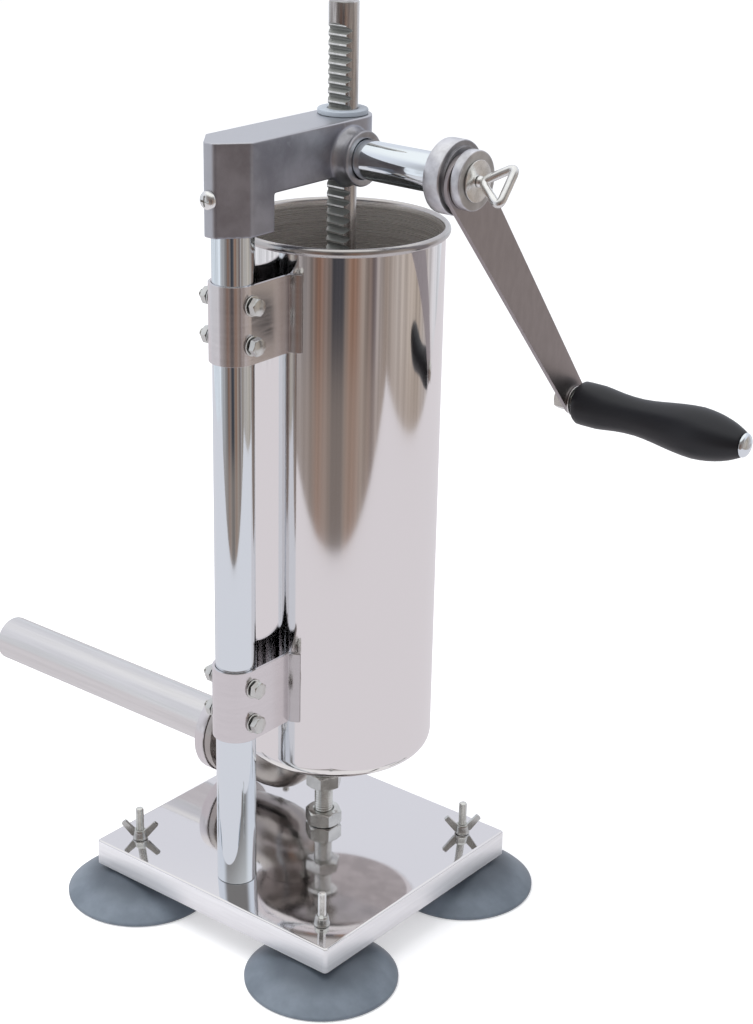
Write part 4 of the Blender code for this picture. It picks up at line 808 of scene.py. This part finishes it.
def head_plan(back):
    """Head seen from above: a narrow front flat, two slanted sides and the given back."""
    front = COLUMN_Y - 21.9
    shoulder = front + 18.5
    return eased([(-4.2, front), (4.2, front), (HEAD_HALF_WIDTH, shoulder)] + back
                 + [(-HEAD_HALF_WIDTH, shoulder)], [2.0, 2.0, 1.5] + [0] * len(back) + [1.5], 4)


def make_head():
    """Casting of arm, block and boss, drilled and then softened as castings are."""
    rear = arc(HEAD_HALF_WIDTH, 0, 180, 36, (0, BARREL_Y))
    head = piece("head_skin", prism(head_plan(rear), HEAD_UNDER, HEAD_TOP), "cast_aluminium",
                 at(0, 0, 0), stands_for="head_casting", sharp=40)
    back = COLUMN_Y + 18.5
    block = prism(head_plan([(HEAD_HALF_WIDTH, back), (-HEAD_HALF_WIDTH, back)]),
                  HEAD_BLOCK_UNDER, HEAD_UNDER + 3)
    with_shape(head, helper(block, at(0, 0, 0)), "UNION")
    boss = lathe(eased([(-17.0, 0.01), (-17.0, 17.8), (18.5, 17.8), (18.5, 20.8), (20.2, 19.6),
                        (22.4, 18.6), (25.4, 17.9), (29.4, 17.8), (29.8, 18.4), (BOSS_END, 18.4),
                        (BOSS_END, 0.01)], [0, 1, 0, 0, 0.8, 0.8, 0.8, 0.2, 0.2, 0.8, 0]), 96)
    axis = at(0, SHAFT_Y, SHAFT_Z)
    with_shape(head, helper(boss, axis, ALONG_X), "UNION")
    for drill, place, turn in (
            (rod(480, 540, 10.6, 0.1, 64), at(0, BARREL_Y, 0), UPRIGHT),
            (rod(21, 40, 13.3, 0.1, 64), axis, ALONG_X),
            (rod(-15, 22, 12.6, 0.1, 64), axis, ALONG_X),
            (rod(470, COLUMN_TOP + 0.3, 14.3, 0.1, 96), at(0, COLUMN_Y, 0), UPRIGHT)):
        with_shape(head, helper(drill, place, turn), "DIFFERENCE")
    cast = head.modifiers.new("Cast", "REMESH")
    cast.mode = "VOXEL"
    cast.voxel_size = 0.7 * MM
    soft = head.modifiers.new("Soft", "SMOOTH")
    soft.factor = 0.5
    soft.iterations = 4
    applied(head)
    head.data.shade_smooth()
    head.data.materials.append(FINISH["boss_aluminium"])
    for polygon in head.data.polygons:
        if polygon.center.x > 20.6 * MM:
            polygon.material_index = 1

    place = at(0, COLUMN_Y - 22.2, HEAD_SCREW_Z)
    dome = [(4.2 * math.sin(math.radians(turn)), 6.3 * math.cos(math.radians(turn)))
            for turn in range(0, 85, 12)]
    screw = piece("cross_screw", lathe([(-10.5, M6_RADIUS), (0, M6_RADIUS), (0, 6.0)] + dome, 56),
                  "bright_zinc", place, ALONG_MINUS_Y, stands_for="head_screw")
    reach, wide = 3.6, 0.65
    cross = [(reach, wide), (wide, wide), (wide, reach), (-wide, reach), (-wide, wide),
             (-reach, wide), (-reach, -wide), (-wide, -wide), (-wide, -reach), (wide, -reach),
             (wide, -wide), (reach, -wide)]
    with_shape(screw, helper(prism(cross, 1.6, 6), place, ALONG_MINUS_Y), "DIFFERENCE")

    bush = eased([(525.2, 10.3), (525.2, 13.5), (534.0, 13.5), (534.0, 17.0), (537.4, 17.0),
                  (537.4, 10.3)], [0.2, 0.2, 0.2, 0.3, 1.2, 0.8])
    piece("rack_bush", lathe(bush, 96, closed=True), "nylon", at(0, BARREL_Y, 0),
          stands_for="guide_bush")


def make_rack():
    """Round bar with a flat, and straight teeth of module 2 cut into that flat."""
    top, foot = 607.0, 143.0
    place = at(0, BARREL_Y, 0)
    bar = piece("rack_bar", rod(foot, top, 10.0, 0.9, 96),
                ["rack_steel", "rack_crest", "rack_gap"], place, rides="rack",
                stands_for="rack_rod", sharp=30)
    pitch = 2 * math.pi
    face, root = -6.6, -2.8
    slope = math.tan(math.radians(25))
    half_face = pitch / 4 + 1.6 * slope + 0.25
    half_root = pitch / 4 - 2.2 * slope
    first = top - 15.2
    count = int((first - foot - 12 - 6) / pitch)
    side = [(-13, first + 3.3), (face, first)]
    for index in range(count):
        height = first - pitch * (index + 0.5)
        side += [(face, height + half_face), (root, height + half_root),
                 (root, height - half_root), (face, height - half_face)]
    low = first - pitch * count
    side += [(face, low), (-13, low - 3.3)]
    comb = skin([[(x, y, z) for y, z in side] for x in (-12, 12)])
    with_shape(bar, helper(comb, place), "DIFFERENCE")
    for polygon in bar.data.polygons:
        across, depth = polygon.center.x * 1000, polygon.center.y * 1000
        # Tooth crests take the paler finish, a painted highlight
        if polygon.normal.y < -0.95 and abs(depth - face) < 0.3:
            polygon.material_index = 1
        elif depth < root + 0.5 and math.hypot(across, depth) < 9.7:
            polygon.material_index = 2
    bar.data.set_sharp_from_angle(angle=math.radians(30))
    bevelled(bar, 0.25, 1, 28)


def make_drive():
    """Sleeve, collar, hub, crank arm and thumb screw along the pinion's axis."""
    axis = at(0, SHAFT_Y, SHAFT_Z)
    piece("sleeve", tube(22.1, 101.5, 13.0, 10.8, 0.3, 96), "chrome", axis, ALONG_X,
          stands_for="sleeve_tube")
    collar = lathe(eased([(96.5, 13.3), (96.5, 24.3), (109.3, 24.3), (109.9, 23.5), (109.9, 20.4),
                          (111.5, 20.4), (111.5, 11.1), (101.8, 11.1), (101.8, 13.3)],
                         [0.2, 3.2, 0.7, 0.3, 0.3, 0.6, 0.3, 0.1, 0.1]), 112, closed=True)
    # The collar's front face, beside the arm, takes the darker finish as painted shade
    for face in collar.faces:
        face.material_index = 1 if face.calc_center_median().z > 109.7 else 0
    piece("collar_ring", collar, ["turned_aluminium", "collar_face"], axis, ALONG_X,
          stands_for="bearing_collar")
    hub = lathe(eased([(115.5, 6.0), (115.5, 19.4), (122.3, 19.4), (122.3, 6.0)],
                      [0.2, 0.6, 0.9, 0.2]), 112, closed=True)
    for face in hub.faces:
        middle = face.calc_center_median()
        if middle.z > 122.2 and math.hypot(middle.x, middle.y) < 18.6:
            face.material_index = 1
    piece("hub_ring", hub, ["turned_aluminium", "hub_face"], axis, ALONG_X, rides="crank",
          stands_for="crank_hub")
    piece("hub_disc", tube(122.6, 123.8, 13.6, 3.3, 0.4, 72), "bright_zinc", axis, ALONG_X,
          rides="crank", stands_for="hub_washer")

    outline = arc(18.5, 180, 360, 40, (-3.25, 0)) + arc(11.6, 0, 180, 32, (2.1, ARM_LENGTH))
    body = prism(outline, 111.8, 115.2)
    for vertex in body.verts:
        across, along, thick = vertex.co
        vertex.co = (thick, along * math.sin(ARM_LEAN) + across * math.cos(ARM_LEAN),
                     -along * math.cos(ARM_LEAN) + across * math.sin(ARM_LEAN))
    arm = piece("arm_bar", body, "arm_steel", axis, rides="crank", stands_for="crank_arm")
    bevelled(arm, 0.5)

    spread = math.radians(-38.5)
    path = [(x * math.cos(spread), x * math.sin(spread), z)
            for x, z in eased([(0, 125.7), (14.6, 146.2), (-14.6, 146.2)], [6.0, 6.5, 6.5], 8)]
    loop = wire_loop(path, 2.9, 20, (-math.sin(spread), math.cos(spread), 0))
    neck = lathe(eased([(112.2, 0.01), (112.2, 3.0), (124.1, 3.0), (124.1, 3.8), (125.3, 3.8),
                        (126.8, 2.8), (126.8, 0.01)], [0, 0.4, 0.1, 0.4, 0.6, 0.4, 0]), 48)
    piece("wire_screw", merged(loop, neck), "bright_zinc", axis, ALONG_X, rides="thumb_screw",
          stands_for="thumb_screw")


def make_grip():
    """Black grip with a belly, its shiny cap, and the washer and nut at the arm."""
    axis = at(0, GRIP_Y, GRIP_Z)
    start, length = 120.3, 131.2
    end = start + length
    # Share of the length and radius
    swell = [(0, 13.2), (0.005, 14.6), (0.016, 15.5), (0.045, 15.65), (0.129, 15.6),
             (0.166, 15.1), (0.203, 14.5), (0.248, 13.8), (0.307, 13.25), (0.374, 13.2),
             (0.433, 13.8), (0.493, 14.8), (0.552, 15.95), (0.612, 17.0), (0.671, 17.8),
             (0.731, 18.2), (0.775, 17.8), (0.82, 17.0), (0.857, 16.0), (0.894, 14.7),
             (0.932, 13.0), (0.961, 11.3), (0.984, 9.8), (0.995, 8.9)]
    profile = [(start, 5.0)] + [(start + length * share, radius) for share, radius in swell]
    profile += [(end, 8.0), (end, 6.1), (end - 2, 6.1), (end - 2, 5.0)]
    piece("grip_skin", lathe(profile, 96, closed=True), "grip_plastic", axis, ALONG_X,
          rides="grip", stands_for="grip", sharp=50)
    face = end + 0.6
    dome = [(face + 3.5 * math.sin(math.radians(turn)),
             8.6 * math.cos(math.radians(turn)) ** 0.8) for turn in range(0, 86, 8)]
    piece("cap_dome", lathe([(face - 2, 5.7), (face, 5.7), (face, 8.2)] + dome, 72), "chrome",
          axis, ALONG_X, rides="crank", stands_for="grip_cap")
    piece("arm_washer", tube(115.5, 116.7, 11.0, 4.3, 0.35, 64), "bright_zinc", axis, ALONG_X,
          rides="crank", stands_for="grip_washer")
    piece("arm_nut", hexagon(102.0, 111.5, 7.5, 4.3, True), "zinc", axis, ALONG_X,
          rides="crank", stands_for="spindle_nut")


# Pieces that stay as CAD solids: mostly inside, so a plain finish with grain is enough
HIDDEN = {"piston_disc": "nylon", "piston_seal": "seal_rubber", "piston_screw": "zinc",
          "pinion_shaft": "rack_steel", "journal_bush": "bearing_plastic",
          "collar_bush": "bearing_plastic", "column_plug": "satin_steel", "column_bolt": "zinc",
          "column_washer": "zinc", "grip_spindle": "zinc", "outlet_gasket": "seal_rubber"}


def dress_hidden_nodes():
    for name, finish in HIDDEN.items():
        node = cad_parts[name]
        node.data.materials.clear()
        node.data.materials.append(FINISH[finish])
        node.data.shade_smooth()
        node.data.set_sharp_from_angle(angle=math.radians(35))


CAMERA_YAW = math.radians(38.43)
CAMERA_PITCH = math.radians(22.04)
CAMERA_ROLL = math.radians(1.20)
CAMERA_PLACE = (877.66, -1024.93, 806.72)
CAMERA_LENS = 73.26
FLOOR_LIFT = 0.36
BENCH_FRONT = -0.765
BENCH_RIGHT = 1.13

# What stands round the bench, as steel shows it: degrees to the right of the way back to the
# camera. Pale far off to both sides, brown and grey nearer, with a dark gap in the middle.
ROOM = [(-180, (0.80, 0.84, 0.90)), (-130, (0.78, 0.81, 0.86)), (-66, (0.76, 0.77, 0.81)),
        (-56, (0.42, 0.40, 0.41)), (-40, (0.31, 0.29, 0.29)), (-30, (0.22, 0.19, 0.18)),
        (-22, (0.25, 0.14, 0.10)), (-15, (0.25, 0.19, 0.17)), (-9, (0.18, 0.15, 0.14)),
        (-7, (0.06, 0.06, 0.07)), (5, (0.06, 0.06, 0.07)), (7, (0.22, 0.18, 0.16)),
        (14, (0.30, 0.18, 0.13)), (19, (0.28, 0.18, 0.14)), (26, (0.34, 0.29, 0.26)),
        (34, (0.22, 0.17, 0.15)), (39, (0.17, 0.14, 0.15)), (43, (0.42, 0.38, 0.37)),
        (52, (0.30, 0.25, 0.22)), (66, (0.50, 0.45, 0.42)), (98, (0.45, 0.39, 0.34)),
        (118, (0.62, 0.60, 0.62)), (142, (0.80, 0.84, 0.90)), (180, (0.80, 0.84, 0.90))]


def stage_plane(name, low, high, height):
    body = bmesh.new()
    body.faces.new([body.verts.new((x, y, height)) for x, y in (
        (low[0], low[1]), (high[0], low[1]), (high[0], high[1]), (low[0], high[1]))])
    mesh = bpy.data.meshes.new(name)
    body.to_mesh(mesh)
    body.free()
    made = bpy.data.objects.new(name, mesh)
    bpy.context.scene.collection.objects.link(made)
    return made


def make_stage():
    """White floor seen by the camera, and the bench top that the polished steel sees."""
    floor = stage_plane("floor", (-12, -12), (12, 12), -0.0004)
    paint = new_paint("floor", Base_Color=(0.80, 0.80, 0.81), Roughness=0.9,
                      Specular_IOR_Level=0.1)
    seen = paint.node("ShaderNodeLightPath", out="Is Camera Ray")
    glow = paint.node("ShaderNodeEmission", None,
                      {"Color": (1, 1, 1), "Strength": seen * FLOOR_LIFT})
    both = paint.node("ShaderNodeAddShader", None,
                      {0: Field(paint, paint.shader.outputs[0]), 1: glow})
    paint.feed(paint.tree.nodes["Material Output"].inputs["Surface"], both)
    floor.data.materials.append(paint.material)
    floor.visible_glossy = False

    bench = stage_plane("bench_top", (-1.3, BENCH_FRONT), (BENCH_RIGHT, 2.2), 0.0)
    paint = new_paint("bench_top")
    glow = paint.node("ShaderNodeEmission", None,
                      {"Color": (0.73, 0.705, 0.74), "Strength": 1.0})
    paint.feed(paint.tree.nodes["Material Output"].inputs["Surface"], glow)
    bench.data.materials.append(paint.material)
    bench.rotation_euler = (0, 0, CAMERA_YAW - 0.035)
    bench.location = (0, 0, -0.0008)
    bench.visible_camera = False
    bench.visible_diffuse = False
    bench.visible_shadow = False
    bench.visible_transmission = False


def make_world():
    """White to the camera; to steel a room of upright bands under a bright ceiling."""
    white = (1.0, 1.0, 1.0)
    world = bpy.data.worlds.new("studio")
    bpy.context.scene.world = world
    world.use_nodes = True
    paint = Paint(world.node_tree)
    way = paint.node("ShaderNodeTexCoord", out="Generated")
    east, north, up = (paint.axis(letter, way) for letter in "XYZ")
    bearing = paint.node("ShaderNodeMath", {"operation": "ARCTAN2"}, {0: north, 1: east})
    turned_by = math.pi / 2 - CAMERA_YAW
    turn = paint.node("ShaderNodeMath", {"operation": "WRAP"},
                      {0: (bearing + turned_by) / math.tau, 1: 0.5, 2: -0.5})
    stops = [((degrees + 180) / 360, colour) for degrees, colour in ROOM]
    bands = paint.node("ShaderNodeValToRGB", {"stops": stops}, {0: turn + 0.5})
    cell = paint.node("ShaderNodeCombineXYZ", None, {0: turn * 90, 1: up * 3})
    streaks = paint.noise(1.0, 2.0, 0.6, cell).ramp_between(0.36, 0.62, 0.74, 1.14)
    bands = paint.blend(1.0, bands, streaks, "MULTIPLY")
    bands = paint.blend(up.ramp_between(-0.335, -0.285, 0.5, 0.0), bands, (0.36, 0.30, 0.265))
    behind = turn.size().ramp_between(0.14, 0.24)
    wall = paint.blend(behind, (0.24, 0.22, 0.21), (0.78, 0.79, 0.85))
    ceiling = paint.blend(up.ramp_between(0.52, 0.80), wall, white)
    room = paint.blend(up.ramp_between(0.12, 0.34), bands, ceiling)
    glossy = paint.node("ShaderNodeLightPath", out="Is Glossy Ray")
    camera = paint.node("ShaderNodeLightPath", out="Is Camera Ray")
    light = paint.blend(glossy, (0.80, 0.81, 0.83), room)
    shown = paint.blend(camera, light, white)
    background = world.node_tree.nodes["Background"]
    paint.feed(background.inputs["Color"], shown)
    background.inputs["Strength"].default_value = 1.0


def make_lamp(name, place, aim, size, power, colour=(1, 1, 1)):
    """Soft rectangular lamp; size in metres, power in watts. Reflections don't show it."""
    lamp = bpy.data.lights.new(name, "AREA")
    lamp.shape = "RECTANGLE"
    lamp.size, lamp.size_y = size
    lamp.energy = power
    lamp.color = colour
    made = bpy.data.objects.new(name, lamp)
    bpy.context.scene.collection.objects.link(made)
    made.location = place
    made.rotation_euler = (Vector(aim) - Vector(place)).to_track_quat("-Z", "Y").to_euler()
    made.visible_glossy = False


def make_camera():
    """Camera at the photograph's angle and distance, with its slight roll."""
    data = bpy.data.cameras.new("camera")
    data.sensor_fit = "VERTICAL"
    data.sensor_height = 36
    data.lens = CAMERA_LENS
    camera = bpy.data.objects.new("camera", data)
    bpy.context.scene.collection.objects.link(camera)
    ahead = Vector((-math.sin(CAMERA_YAW) * math.cos(CAMERA_PITCH),
                    math.cos(CAMERA_YAW) * math.cos(CAMERA_PITCH), -math.sin(CAMERA_PITCH)))
    right = Vector((math.cos(CAMERA_YAW), math.sin(CAMERA_YAW), 0))
    up = right.cross(ahead)
    side = right * math.cos(CAMERA_ROLL) + up * math.sin(CAMERA_ROLL)
    lift = up * math.cos(CAMERA_ROLL) - right * math.sin(CAMERA_ROLL)
    turn = Matrix((side, lift, -ahead)).transposed()
    camera.matrix_world = Matrix.Translation(at(*CAMERA_PLACE)) @ turn.to_4x4()
    bpy.context.scene.camera = camera


bpy.context.scene.view_settings.view_transform = "Standard"
make_base_plate()
make_cups()
make_wing_nuts()
make_support()
make_column()
make_clamps()
make_barrel()
make_outlet()
make_head()
make_rack()
make_drive()
make_grip()
dress_hidden_nodes()
make_stage()
make_world()
make_lamp("overhead", (-0.3, -0.5, 1.9), (0, 0, 0.3), (1.4, 1.4), 22)
make_lamp("left_fill", (-1.6, -1.0, 1.0), (0, 0, 0.3), (1.0, 1.4), 7, (0.95, 0.97, 1.0))
make_camera()
